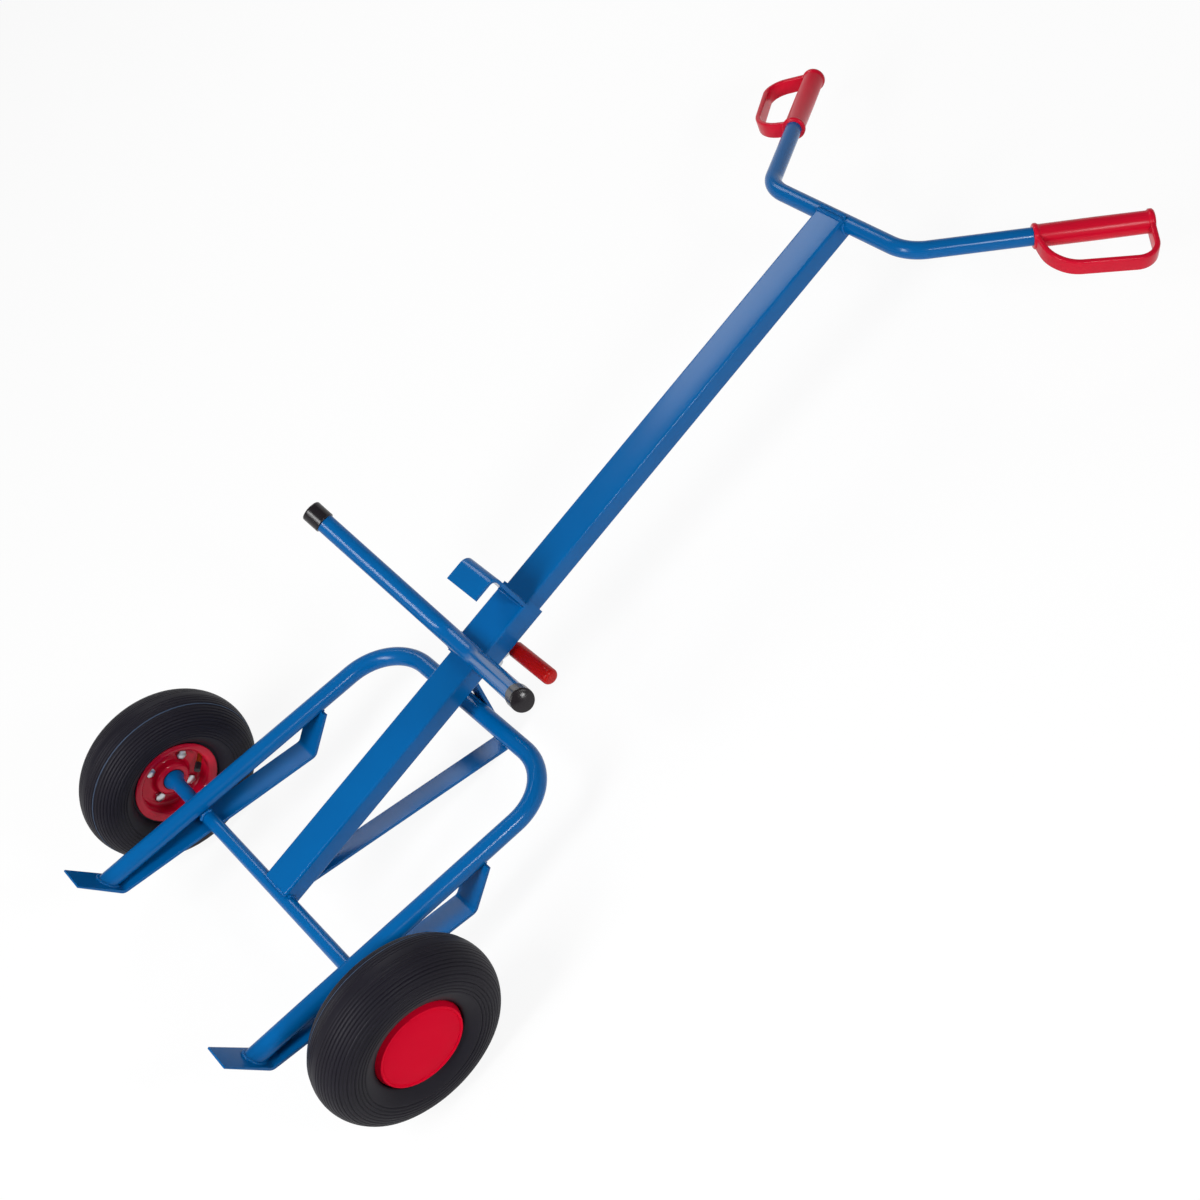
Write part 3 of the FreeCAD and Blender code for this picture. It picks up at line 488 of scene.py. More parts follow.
@dataclass
class SubAssembly:
    """A group of pieces that are built together, with their finishes. All sizes are in millimetres."""

    mast: MastFrame
    pieces: list[tuple[bpy.types.Object, Finish]] = field(default_factory=list)

    def add(self, name: str, shape: Shape, body: Body, finish: Finish, stands_for: Sequence[str] = (),
            sharp_degrees: float = SHARP_DEGREES) -> None:
        """Makes an object of a shape, and ties it to its body.

        Args:
            name: The object's name.
            shape: Its shape in the mast's frame.
            body: The body that it moves with.
            finish: The finish that it gets later.
            stands_for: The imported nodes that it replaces.
            sharp_degrees: The turn above which its edges stay sharp.
        """
        mesh = bpy.data.meshes.new(name)
        mesh.from_pydata([self.mast.point(*corner) for corner in shape.corners], [], shape.faces)
        mesh.validate()
        solid = bmesh.new()
        solid.from_mesh(mesh)
        bmesh.ops.recalc_face_normals(solid, faces=solid.faces)
        solid.to_mesh(mesh)
        solid.free()
        mesh.polygons.foreach_set("use_smooth", [True] * len(mesh.polygons))
        mesh.set_sharp_from_angle(angle=math.radians(sharp_degrees))
        piece = place_object(name, mesh)
        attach(piece, body.value)
        names = list(stands_for)
        if names:
            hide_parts(*names)
        self.pieces.append((piece, finish))

    def build(self) -> None:
        """Builds the pieces."""
        raise NotImplementedError

    def dress(self) -> None:
        """Gives every piece its finish."""
        for piece, finish in self.pieces:
            piece.data.materials.clear()
            piece.data.materials.append(finish.material())
            LOG.info("%s: %d faces, %s", piece.name, len(piece.data.polygons), finish.name)


@dataclass
class Upright(SubAssembly):
    """Mast and handlebar with its grips."""

    mast_size: Pair = (50.0, 30.0)
    mast_span: Pair = (7.0, 1156.0)  # The heights of its foot and its head.
    mast_corner: float = 4.0
    handle_radius: float = 12.0
    handle_half: float = 131.0  # Half the straight middle, to the bends' corners.
    handle_bend: float = 55.0
    arm_spread: float = 32.7  # Degrees from the axle's direction to the back.
    arm_rise: float = 46.0  # Degrees up from the axle's direction.
    grip_start: float = 163.0  # Along the arm from its bend.
    grip_length: float = 156.0
    grip_radius: float = 15.0
    grip_tip: Pair = (6.0, 0.4)  # The closed end's thickness, and the radius of its fine hole.
    guard_roll: float = 14.7  # Degrees about the arm.
    # The knuckle guard's corners as (reach from the arm, distance along the grip), and its bends' radii.
    guard_line: tuple[Pair, ...] = ((9.0, 4.5), (40.0, 11.0), (62.0, 36.0), (69.0, 148.0), (9.0, 151.0))
    guard_bends: Triple = (46.0, 46.0, 27.0)
    guard_band: Triple = (22.6, 7.6, 3.0)  # Width, thickness and edge radius.

    def arm(self, side: Side) -> Vector:
        """The direction of an arm from its bend to its grip."""
        (across, back), (flat, up) = cosine_and_sine(self.arm_spread), cosine_and_sine(self.arm_rise)
        return Vector((side.value * across * flat, back * flat, up))

    def bend(self, side: Side) -> Vector:
        """The corner of the handlebar's bend on a side."""
        return Vector((side.value * self.handle_half, 0, self.mast_span[1]))

    def build(self) -> None:
        """Builds the mast, the handlebar and both grips."""
        ends = [Vector((0, 0, height)) for height in self.mast_span]
        section = box_section(*self.mast_size, self.mast_corner)
        self.add("mast_tube", sweep(section, ends, LEFTWARD), Body.FRAME, BLUE_COAT, ["mast"])
        reach = self.grip_start + self.grip_length - self.grip_tip[0]
        right, left = ([self.bend(side) + self.arm(side) * reach, self.bend(side)]
                       for side in (Side.RIGHT, Side.LEFT))
        line = bent_path(right + left[::-1], self.handle_bend, steps=20)
        tube = sweep(round_section(self.handle_radius), line, BACKWARD)
        self.add("handlebar_tube", tube, Body.FRAME, BLUE_COAT, ["handlebar"])
        for side in Side:
            self.add(f"{side.word}_safety_grip", self.grip(side), Body.FRAME, RED_MOULDING,
                     [f"grip_{side.word}"], sharp_degrees=50)

    def grip(self, side: Side) -> Shape:
        """A moulded grip with rolled collars and a flat knuckle guard.

        Args:
            side: The grip's side.

        Returns:
            The grip's shape.
        """
        inner, outer, collar = self.handle_radius - 1, self.grip_radius, self.grip_radius + 2
        end, (tip, hole) = self.grip_length, self.grip_tip
        # The collar by the bend, the slightly barrelled hold, the collar at the end, and the closed tip.
        profile = [(0.0, inner), (0.0, collar - 1.5), (1.5, collar), (5.0, collar), (7.0, outer + 0.4),
                   (9.0, outer), (end / 2, outer + 0.3), (end - 10, outer), (end - 8, outer + 0.4),
                   (end - 6.5, collar), (end - 2.5, collar), (end - 0.8, collar - 1.5), (end, collar - 4),
                   (end, hole), (end - tip, hole), (end - tip, inner)]
        along = self.arm(side)
        outward = (Vector((side.value, 0, 0)) - along * (side.value * along.x)).normalized()
        facing = Quaternion(along, side.value * math.radians(self.guard_roll)) @ outward
        normal = along.cross(facing)
        turn = Matrix((along, facing, normal)).transposed().to_quaternion()
        base = self.bend(side) + along * self.grip_start
        corners = [base + facing * reach + along * run for reach, run in self.guard_line]
        guard = sweep(box_section(*self.guard_band), bent_path(corners, self.guard_bends, steps=14), normal)
        return revolve(profile, segments=64).moved(turn, base).join(guard)


@dataclass
class Base(SubAssembly):
    """Hoop, axle, skids and the seams that hold them. Leans and tilts are in degrees."""

    axle_radius: float = 10.0
    axle_half: float = 319.0
    axle_chamfer: float = 1.5
    collar_face: float = 283.7
    # A collar's flare, as (distance from its face, height over the axle).
    collar_bell: tuple[Pair, ...] = (
        (0.0, 0.05), (0.0, 4.6), (-0.5, 5.0), (-2.5, 5.0), (-4.5, 3.8), (-7.0, 2.5), (-10.0, 1.4),
        (-13.0, 0.6), (-16.0, 0.05))
    leg_half: float = 193.0  # The legs' distance from the middle.
    leg_radius: float = 13.0
    leg_lean: float = 14.25
    hoop_top: float = 345.75
    hoop_bend: float = 79.0
    bar_width: float = 40.0
    bar_thickness: float = 5.0
    bar_edge: float = 0.7
    bar_bend: float = 9.0
    skid_lean: float = 21.6
    skid_runs: Pair = (-147.0, 167.0)  # Up the skid to its lower and its upper bend.
    skid_landing: float = 215.0  # The height where it meets its leg.
    skid_bite: float = 2.0  # How far its end reaches into the leg's tube.
    toe_length: float = 76.0
    toe_tilt: float = 16.0
    centre_lean: float = 25.1
    centre_back: float = 3.8  # Behind the axle.
    centre_runs: Pair = (34.0, 374.0)  # Up the centre skid to its lower end and its bend.
    centre_landing: float = 378.0  # The height where it meets the mast.
    centre_gap: float = 16.5  # From the mast's middle to its end.
    centre_width: float = 30.0
    # The straight seams at the mast's ends: places to the back and up, and radii.
    mast_welds: tuple[Triple, ...] = (
        (-11.5, 6.0, 3.0), (11.5, 6.0, 3.0), (-14.9, 1151.5, 3.6), (-13.4, 1158.0, 3.8), (13.6, 1156.5, 3.6))
    # The arcs round axle and handlebar beside the mast: heights, radii, first and last angles.
    flank_welds: tuple[tuple[float, ...], ...] = ((0.0, 10.6, 35.0, 145.0), (1156.0, 12.6, 200.0, 340.0))
    # The seams between hoop and mast: places to the back and up, from the top tube's axis.
    hoop_welds: tuple[Pair, ...] = ((-9.5, 10.5), (9.5, 6.0))

    def leg(self, height: float, x: float = 0.0) -> Vector:
        """A point of a leg's axis, by its height above the axle and its place along it."""
        lean, gap = math.radians(self.leg_lean), self.leg_radius + self.axle_radius + TOUCH
        return Vector((x, height * math.tan(lean) - gap / math.cos(lean), height))

    @staticmethod
    def leaning(lean: float, distance: float, run: float, x: float = 0.0) -> Vector:
        """A point of a line that leans back at a distance behind the axle, by the run up the line."""
        cosine, sine = cosine_and_sine(lean)
        return Vector((x, cosine * distance + sine * run, cosine * run - sine * distance))

    def skid_corner(self, bend: int, x: float = 0.0) -> Vector:
        """The corner of a side skid's lower bend (0) or upper bend (1), in the middle of its sheet."""
        back = self.axle_radius + self.bar_thickness / 2 + TOUCH
        return self.leaning(self.skid_lean, back, self.skid_runs[bend], x)

    def toe_direction(self) -> Vector:
        """The direction of a toe, towards its tip."""
        cosine, sine = cosine_and_sine(self.toe_tilt)
        return Vector((0, -cosine, -sine))

    def toe_up(self) -> Vector:
        """The direction that a toe's upper face looks in."""
        along = self.toe_direction()
        return Vector((0, along.z, -along.y))

    def leg_up(self) -> Vector:
        """The direction of the legs, upwards."""
        return (self.leg(1.0) - self.leg(0.0)).normalized()

    def foot_height(self) -> float:
        """The height where a leg's axis meets the middle of its toe's sheet."""
        place, step = self.leg(0.0), self.leg(1.0) - self.leg(0.0)
        return (self.skid_corner(0) - place).dot(self.toe_up()) / step.dot(self.toe_up())

    def build(self) -> None:
        """Builds the axle, the hoop, the three skids and the seams."""
        self.build_axle()
        self.build_hoop()
        self.build_skids()
        self.add("frame_weld_seams", self.seams(), Body.FRAME, BLUE_COAT, sharp_degrees=60)

    def build_axle(self) -> None:
        """Builds the axle and its flared collars."""
        half, radius, chamfer = self.axle_half, self.axle_radius, self.axle_chamfer
        profile = [(-half, radius - chamfer), (chamfer - half, radius), (half - chamfer, radius),
                   (half, radius - chamfer), (half, PIN_HOLE), (-half, PIN_HOLE)]
        self.add("axle_bar", revolve(profile, segments=56), Body.FRAME, BLUE_COAT, ["axle"])
        bell = revolve([(run, radius + grow) for run, grow in self.collar_bell], segments=56)
        collars = Shape()
        for side in Side:
            collars.join(bell.moved(side.turn, Vector((side.value * self.collar_face, 0, 0))))
        self.add("flared_collars", collars, Body.FRAME, BLUE_COAT, ["axle_collars"])

    def build_hoop(self) -> None:
        """Builds the hoop, with both ends cut to the slope of the toes."""
        foot, top, half = self.foot_height(), self.hoop_top, self.leg_half
        corners = [self.leg(foot, -half), self.leg(top, -half), self.leg(top, half), self.leg(foot, half)]
        section = round_section(self.leg_radius)
        tube = sweep(section, bent_path(corners, self.hoop_bend, steps=20), LEFTWARD)
        up, along = self.toe_up(), self.leg_up()
        for corner in tube.corners[:len(section)] + tube.corners[-len(section):]:
            corner -= along * ((corner - self.skid_corner(0)).dot(up) / along.dot(up))
        self.add("hoop_tube", tube, Body.FRAME, BLUE_COAT, ["hoop"])

    def build_skids(self) -> None:
        """Builds both side skids with their toes, and the centre skid."""
        strip = box_section(self.bar_width, self.bar_thickness, self.bar_edge)
        for side in Side:
            x = side.value * self.leg_half
            heel, corner = self.skid_corner(0, x), self.skid_corner(1, x)
            end = short_of(corner, self.leg(self.skid_landing, x), self.leg_radius - self.skid_bite)
            tip = heel + self.toe_direction() * self.toe_length
            shape = sweep(strip, bent_path([tip, heel, corner, end], self.bar_bend, steps=8), LEFTWARD)
            self.sharpen_toe(shape, tip)
            self.add(f"{side.word}_side_skid", shape, Body.FRAME, BLUE_BAR, [f"skid_{side.word}"])
        start, corner = (self.leaning(self.centre_lean, self.centre_back, run) for run in self.centre_runs)
        end = short_of(corner, Vector((0, 0, self.centre_landing)), self.centre_gap)
        strip = box_section(self.centre_width, self.bar_thickness, self.bar_edge)
        shape = sweep(strip, bent_path([start, corner, end], self.bar_bend, steps=8), LEFTWARD)
        self.add("centre_skid_bar", shape, Body.FRAME, BLUE_BAR, ["centre_skid"])

    def sharpen_toe(self, shape: Shape, tip: Vector) -> None:
        """Tapers the upper face of a toe towards its tip.

        Args:
            shape: The skid's shape.
            tip: The tip's middle.
        """
        along, up = self.toe_direction(), self.toe_up()
        for corner in shape.corners:
            if abs((corner - tip).dot(along)) < 0.01 and (corner - tip).dot(up) > 0:
                corner -= up * (corner - tip).dot(up)

    def seams(self) -> Shape:
        """The weld seams of the frame.

        Returns:
            All seams as one shape.
        """
        shape = Shape()
        for y, z, radius in self.mast_welds:
            shape.join(cross_seam(Vector((0, y, z)), half=24, radius=radius))
        for x in (-25.5, 25.5):
            for height, radius, first, last in self.flank_welds:
                shape.join(weld_seam(arc_at(x, (0, height), radius, first, last, steps=16), radius=2.2))
        for side in Side:
            shape.join(self.leg_seams(side.value * self.leg_half))
        low = self.leaning(self.centre_lean, self.centre_back, self.centre_runs[0]).z
        for z in (self.centre_landing - 8.6, low - 5, low + 12):
            shape.join(cross_seam(Vector((0, 16.6, z)), half=14, radius=2.4))
        for y, z in self.hoop_welds:
            shape.join(cross_seam(self.leg(self.hoop_top) + Vector((0, y, z)), half=14, radius=2.4))
        return shape

    def leg_seams(self, x: float) -> Shape:
        """The weld seams of one leg: round its foot, at the axle, and where the side skid lands on it.

        Args:
            x: The leg's place along the axle.

        Returns:
            The leg's seams as one shape.
        """
        slope = self.leg_up().dot(self.toe_up())
        base = self.leg(self.foot_height(), x) + self.leg_up() * (self.bar_thickness / 2 / slope)
        foot = self.leg_radius + 0.6
        ring = [base + Vector((foot * a, 0, 0)) + self.toe_direction() * (foot / slope * b)
                for a, b in arc_points((0, 0), 1, -50, 230, steps=50)]
        shape = weld_seam(ring, radius=2.5)
        cosine, sine = cosine_and_sine(self.leg_lean)
        touch = Vector((x, -self.axle_radius * cosine, self.axle_radius * sine))
        tangent = Vector((0, sine, cosine))
        back, run_up = self.leaning(self.skid_lean, 1, 0), self.leaning(self.skid_lean, 0, 1)
        for end in (-1, 1):
            path = [touch + tangent * (5.5 * end) + Vector((10 * step / 6, -1.5, 0)) for step in range(-6, 7)]
            fillet = arc_at(x + 9.5 * end, (0, 0), self.axle_radius + 1, 115, 235, steps=14)
            shape.join(weld_seam(path, radius=2.8)).join(weld_seam(fillet, radius=3.0))
            middle = back * self.axle_radius + run_up * (6.5 * end) + Vector((x, 0, 0))
            shape.join(cross_seam(middle, half=19, radius=2.6))
        landing = self.leg(self.skid_landing, x)
        inward = (self.skid_corner(1, x) - landing).normalized()
        face = Vector((0, -inward.z, inward.y))
        meet = landing + inward * (self.leg_radius + 0.2)
        for end in (-1, 1):
            # The line sinks to both sides, as the tube's round does.
            line = [meet + face * (3.2 * end) + Vector((offset, 0, 0)) - inward * (offset * offset / 34)
                    for offset in range(-10, 11, 4)]
            shape.join(weld_seam(line, radius=2.4))
        return shape


@dataclass
class Slider(SubAssembly):
    """Sleeve, hook, cross bar, caps and lever."""

    sleeve_size: Pair = (57.0, 37.0)
    sleeve_span: Pair = (383.0, 500.0)  # The heights of its lower and upper ends.
    sleeve_wall: float = 3.0
    sleeve_corners: Pair = (4.0, 0.5)  # Outside and inside.
    window: Triple = (9.0, 403.0, 430.0)  # The pawl's: half its width, lower and upper edges.
    hook: tuple[float, ...] = (62.0, 5.0, 490.5, 81.0, 37.5)  # Width, thickness, height, reach and drop.
    hook_rounding: Pair = (0.8, 11.0)  # Of its edges and of its bend.
    bar_radius: float = 13.3
    bar_line: Triple = (15.3, 36.0, 241.0)  # Over the sleeve's foot, half the middle, the arms' length.
    bar_bend: float = 60.0
    bar_spread: float = 31.8  # The arms' turn forward, in degrees.
    bar_lean: Pair = (1.73, -1.6)  # The tilt about Y and about X, in degrees.
    cap_wall: float = 2.0
    rod: Pair = (40.0, 440.0)  # The lever rod's place behind the mast and up it.
    rod_span: Pair = (14.0, 94.0)  # The ends of its grip.
    rod_grip: tuple[float, ...] = (6.0, 11.5, 0.9, 6.0)  # The radii of bore, outside, edge and nose.

    @property
    def front(self) -> float:
        """The place of what is welded to the sleeve's front."""
        return -self.sleeve_size[1] / 2 - TOUCH

    def build(self) -> None:
        """Builds the sleeve, the hook, the bar with its caps, the lever's grip and the seams."""
        self.add("sleeve_tube", self.sleeve(), Body.SLIDER, BLUE_COAT, ["sleeve"])
        width, thickness, level, reach, drop = self.hook
        edge, bend = self.hook_rounding
        front, lip = self.front, self.front - reach
        corners = [Vector((0, y, z)) for y, z in ((front + 0.5, level), (lip, level), (lip, level - drop))]
        plate = sweep(box_section(width, thickness, edge), bent_path(corners, bend, steps=12), LEFTWARD)
        self.add("hook_plate", plate, Body.SLIDER, BLUE_COAT, ["hook"])
        place, turn = self.build_bar()
        start, end = self.rod_span
        bore, radius, edge, nose = self.rod_grip
        outline = [(start, bore), (start, radius - edge), (start + edge, radius)]
        outline += arc_points((end - nose, radius - nose), nose, 90, 0, 8)
        outline += [(end, PIN_HOLE), (start + 1, PIN_HOLE)]
        grip = revolve(outline, segments=48).moved(Quaternion(), Vector((0, *self.rod)))
        self.add("lever_sleeve", grip, Body.LEVER, LEVER_VINYL, ["lever_grip"])
        self.add("slider_weld_seams", self.seams(place, turn), Body.SLIDER, BLUE_COAT, sharp_degrees=60)

    def build_bar(self) -> tuple[Vector, Quaternion]:
        """Builds the cross bar with its caps.

        Returns:
            The middle of the bar at the sleeve, and the bar's tilt.
        """
        rise, half, reach = self.bar_line
        place = Vector((0, self.front - self.bar_radius, self.sleeve_span[0] + rise))
        about_y, about_x = (math.radians(angle) for angle in self.bar_lean)
        turn = Quaternion(BACKWARD, about_y) @ Quaternion(LEFTWARD, about_x)
        cosine, sine = cosine_and_sine(self.bar_spread)
        arms = {side: Vector((side.value * cosine, -sine, 0)) for side in Side}
        bends = {side: Vector((side.value * half, 0, 0)) for side in Side}
        ends = {side: bends[side] + arms[side] * reach for side in Side}
        corners = [ends[Side.RIGHT], bends[Side.RIGHT], bends[Side.LEFT], ends[Side.LEFT]]
        tube = sweep(round_section(self.bar_radius), bent_path(corners, self.bar_bend, steps=14), UPWARD)
        self.add("cross_bar_tube", tube.moved(turn, place), Body.SLIDER, BLUE_COAT, ["cross_bar"])
        cap = revolve(self.cap_profile(), segments=56)
        for side in Side:
            shape = cap.moved(LEFTWARD.rotation_difference(arms[side]), ends[side]).moved(turn, place)
            self.add(f"{side.word}_bar_cap", shape, Body.SLIDER, BLACK_CAP, [f"bar_cap_{side.word}"],
                     sharp_degrees=50)
        return place, turn

    def cap_profile(self) -> list[Pair]:
        """A slip-on cap with a rounded edge and a slightly domed end.

        Returns:
            The closed profile, from the bar's end.
        """
        inner, outer = self.bar_radius - 0.2, self.bar_radius + self.cap_wall
        skirt = [(-21.0, inner), (-21.0, outer - 0.6), (-20.4, outer), (-19.4, outer), (2.4, outer)]
        rounding, doming, tip = 2.6, 30.0, 8.8
        edge = arc_points((3.4, outer - rounding), rounding, 90, 30, steps=6)
        dome = arc_points((tip - doming, 0.0), doming, 24.8, 0.5, steps=8)
        return skirt + edge + dome + [(-1.0, PIN_HOLE), (-1.0, inner)]

    def sleeve(self) -> Shape:
        """An open rectangular tube with rounded long edges, and a window in its back for the pawl.

        Returns:
            The sleeve's shape.
        """
        half, low_sill, high_sill = self.window
        (width, depth), wall = self.sleeve_size, 2 * self.sleeve_wall
        sections = [box_section(width - less, depth - less, radius)
                    for less, radius in zip((0, wall), self.sleeve_corners)]
        # The back wall runs between a section's third and fourth corners, and gets the window's sides there.
        before = len(sections[0]) * 3 // 4
        outer, inner = (
            section[:before] + [(half, section[before][1]), (-half, section[before][1])] + section[before:]
            for section in sections)
        low, high = self.sleeve_span
        levels = ((inner, low), (outer, low), (outer, low_sill), (outer, high_sill),
                  (outer, high), (inner, high), (inner, high_sill), (inner, low_sill))
        shape = loft([[Vector((x, y, z)) for x, y in section] for section, z in levels], closed=True)
        sill = [[row * len(outer) + before + step for step in (0, 1)] for row in (2, 3, 6, 7)]
        (a, b), (d, c), (h, g), (e, f) = sill
        shape.faces = [face for face in shape.faces if set(face) not in ({a, b, c, d}, {e, f, g, h})]
        shape.faces += [(a, b, f, e), (b, c, g, f), (c, d, h, g), (d, a, e, h)]
        return shape

    def seams(self, place: Vector, turn: Quaternion) -> Shape:
        """The weld seams of the slider.

        Args:
            place: The middle of the cross bar at the sleeve.
            turn: The cross bar's tilt.

        Returns:
            All seams as one shape.
        """
        shape = Shape()
        for z in (10.5, -10.5):
            shape.join(weld_seam([place + turn @ Vector((x, 10.4, z)) for x in (-27, 27)], radius=3.6))
        thickness, level = self.hook[1:3]
        for z in (level - thickness / 2 - 1, level + thickness / 2 + 0.6):
            shape.join(cross_seam(Vector((0, self.front - 0.6, z)), half=26, radius=2.6))
        return shape


@dataclass
class Wheel(SubAssembly):
    """One wheel: ribbed tyre, pressed rim, hub cap and bolts. Places are from its middle plane."""

    side: Side = Side.LEFT
    track_half: float = 298.0  # The wheel's distance from the trolley's middle.
    radius: float = 130.0
    tread_radius: float = 51.0  # Of the tread's curve across the tyre.
    shoulder: Pair = (34.0, 117.0)  # The place and radius where tread and wall meet.
    wall_bulges: Pair = (40.8, 32.5)  # The radii of the outer and the inner wall.
    rib_centre: Pair = (6.0, 38.0)  # What grooves point at: its place, and its depth under the tread.
    rib_band: Pair = (5.0, 74.0)  # Where grooves start and end, along the surface from the crown.
    rib_pitch: float = 4.8
    rib_depths: Triple = (0.45, 0.3, 1.0)  # Ribs and plain walls under the outline, grooves under ribs.
    line_place: float = 21.0  # The mould line's, to the inside.
    line_ridge: tuple[Pair, ...] = ((-1.0, 1.4), (-0.6, 0.1), (0.6, 0.1), (1.0, 1.4))  # Across, and deep.
    rim_seat: float = 52.0
    rim_flange: float = 63.0
    rim_half: float = 22.0  # Half the width between the flanges.
    sheet: float = 2.5
    rim_bend: float = 5.0  # The inner radius of the pressed corners.
    hub_radius: float = 21.0
    # The ring pressed round the hub's inner end, as (place, height over the hub).
    hub_ring: tuple[Pair, ...] = (
        (-2.2, 0.05), (-14.1, 0.05), (-14.1, -4.6), (-14.8, -4.8), (-15.3, -3.8), (-15.2, -1.4),
        (-14.6, 1.2), (-13.4, 3.4), (-11.0, 4.6), (-6.0, 5.2), (-3.4, 7.0), (-2.5, 10.0))
    bolt_count: int = 4
    bolt_circle: float = 35.0
    bolt_turn: float = 18.0  # The first bolt's, in degrees from the top.
    bolt_flats: float = 13.0
    cap_face: float = 35.0

    @property
    def body(self) -> Body:
        """The wheel's body."""
        return Body.LEFT_WHEEL if self.side is Side.LEFT else Body.RIGHT_WHEEL

    def put(self, part: str, shape: Shape, finish: Finish, stands_for: Sequence[str],
            sharp: float = SHARP_DEGREES) -> None:
        """Adds a piece of this wheel, at the wheel's end of the axle.

        Args:
            part: The piece's name without its side.
            shape: Its shape in the wheel's own frame, with its outer side towards +X.
            finish: Its finish.
            stands_for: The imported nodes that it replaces, without their side.
            sharp: The turn above which its edges stay sharp.
        """
        word = self.side.word
        nodes = [f"{word}_{name}" for name in stands_for]
        seated = shape.moved(self.side.turn, Vector((self.side.value * self.track_half, 0, 0)))
        self.add(f"{word}_{part}", seated, self.body, finish, nodes, sharp)

    def build(self) -> None:
        """Builds the tyre, the rim halves, the hub's ring, the cap and the bolts."""
        self.put("ribbed_tyre", revolve(self.tyre_profile(), segments=180), TYRE_RUBBER, ["tyre"], sharp=60)
        # The mould line's paler colour is a painted highlight on its ridge.
        self.put("mould_line", revolve(self.ridge_profile(), segments=180), MOULD_LINE_PAINTED_HIGHLIGHT, [], sharp=60)
        half = revolve(self.rim_profile(), segments=96)
        self.put("outer_pressing", half, RED_COAT, ["outer_rim"], sharp=50)
        ring = [(axial, self.hub_radius + grow) for axial, grow in self.hub_ring]
        inner = half.moved(Side.RIGHT.turn, Vector((0, 0, 0))).join(revolve(ring, segments=72))
        self.put("inner_pressing", inner, RED_COAT, ["inner_rim"], sharp=50)
        self.put("pressed_hub_cap", revolve(self.cap_profile(), segments=128), RED_CAP, ["hub_cap"], sharp=40)
        self.put("zinc_bolts", self.bolts(), ZINC, ["rim_bolts"])

    def ridge_profile(self) -> list[Pair]:
        """The raised mould line that runs round the tread.

        Returns:
            The closed profile.
        """
        middle = Vector((0, self.radius - self.tread_radius))
        rise = math.sqrt(self.tread_radius ** 2 - self.line_place ** 2)
        tip = Vector((-self.line_place, self.radius - self.tread_radius + rise))
        out = (tip - middle).normalized()
        flank = Vector((out.y, -out.x))
        return [tuple(tip + flank * wide - out * deep) for wide, deep in self.line_ridge]

    def tyre_profile(self) -> list[Pair]:
        """The tyre's section, with fine ribs round the tread and shoulders, and smooth walls by the rim.

        Returns:
            The closed profile.
        """
        bead, seat, flange = self.rim_half - 0.2, self.rim_seat, self.rim_flange
        outer = [(bead, seat + 5.1), (bead, flange + 0.3)]
        outer += self.ribbed((31.0, flange + 0.8), self.wall_bulges[0])
        inner = [(bead, seat + 5.1)] + self.ribbed((bead, seat + 13), self.wall_bulges[1])
        mirrored = [(-axial, radius) for axial, radius in reversed(inner[:-1])]
        return outer + mirrored + [(5 - bead, seat + TOUCH), (bead - 5, seat + TOUCH)]

    def ribbed(self, start: Pair, bulge: float) -> list[Pair]:
        """One side of the tyre from its rim to the tread's middle.

        Args:
            start: Where the wall starts by the rim.
            bulge: The radius of the wall's bulge.

        Returns:
            The points of the ribbed surface.
        """
        wall = self.arc_through(start, self.shoulder, bulge, 90)
        first = math.degrees(math.acos(self.shoulder[0] / self.tread_radius))
        tread = arc_points((0.0, self.radius - self.tread_radius), self.tread_radius, first, 90, 64)
        smooth = wall + tread[1:]
        lengths = [math.dist(here, after) for here, after in zip(smooth, smooth[1:])]
        centre = (self.rib_centre[0], self.radius - self.rib_centre[1])
        points = []
        for index, (axial, radius) in enumerate(smooth):
            share = 1 - self.rib_depth(sum(lengths[index:])) / math.dist((axial, radius), centre)
            points.append((centre[0] + (axial - centre[0]) * share, centre[1] + (radius - centre[1]) * share))
        return points

    def rib_depth(self, from_crown: float) -> float:
        """How deep the surface lies below the tyre's smooth outline.

        Args:
            from_crown: The distance from the tread's middle, along the surface.

        Returns:
            The depth in millimetres.
        """
        (first, last), (rib, wall, groove) = self.rib_band, self.rib_depths
        if from_crown < first:
            return rib
        if from_crown > last:
            return wall
        wave = math.cos(2 * math.pi * (from_crown - first) / self.rib_pitch)
        return rib + groove * max(0.0, wave) ** 2

    @staticmethod
    def arc_through(start: Pair, end: Pair, radius: float, steps: int) -> list[Pair]:
        """The short arc that turns left from start to end.

        Args:
            start: The first point.
            end: The last point.
            radius: The arc's radius.
            steps: How many spans it gets.

        Returns:
            The points, both ends included.
        """
        chord = Vector((end[0] - start[0], end[1] - start[1]))
        depth = math.sqrt(radius ** 2 - chord.length_squared / 4)
        side = Vector((-chord.y, chord.x)).normalized()
        middle = Vector(((start[0] + end[0]) / 2, (start[1] + end[1]) / 2)) + side * depth
        first, last = (math.degrees(math.atan2(y - middle.y, x - middle.x)) for x, y in (start, end))
        return arc_points((middle.x, middle.y), radius, first, last, steps)

    def rim_profile(self) -> list[Pair]:
        """One pressed rim half, from the middle plane to its rolled flange.

        Returns:
            The closed profile.
        """
        hub, seat, edge, sheet = self.hub_radius, self.rim_seat, self.rim_half, self.sheet
        inner, outer = self.rim_bend, self.rim_bend + sheet
        web, well = (outer, seat - outer), (edge - inner, seat + inner)
        profile = [(0.05, hub), (sheet, hub)]
        profile += arc_points(web, inner, 180, 90, 6)
        profile += arc_points(well, outer, -90, 0, 8)
        profile += arc_points((edge + sheet / 2, self.rim_flange - sheet / 2), sheet / 2, 0, 180, 8)
        profile += arc_points(well, inner, 0, -90, 6)
        profile += arc_points(web, outer, 90, 180, 8)
        return profile

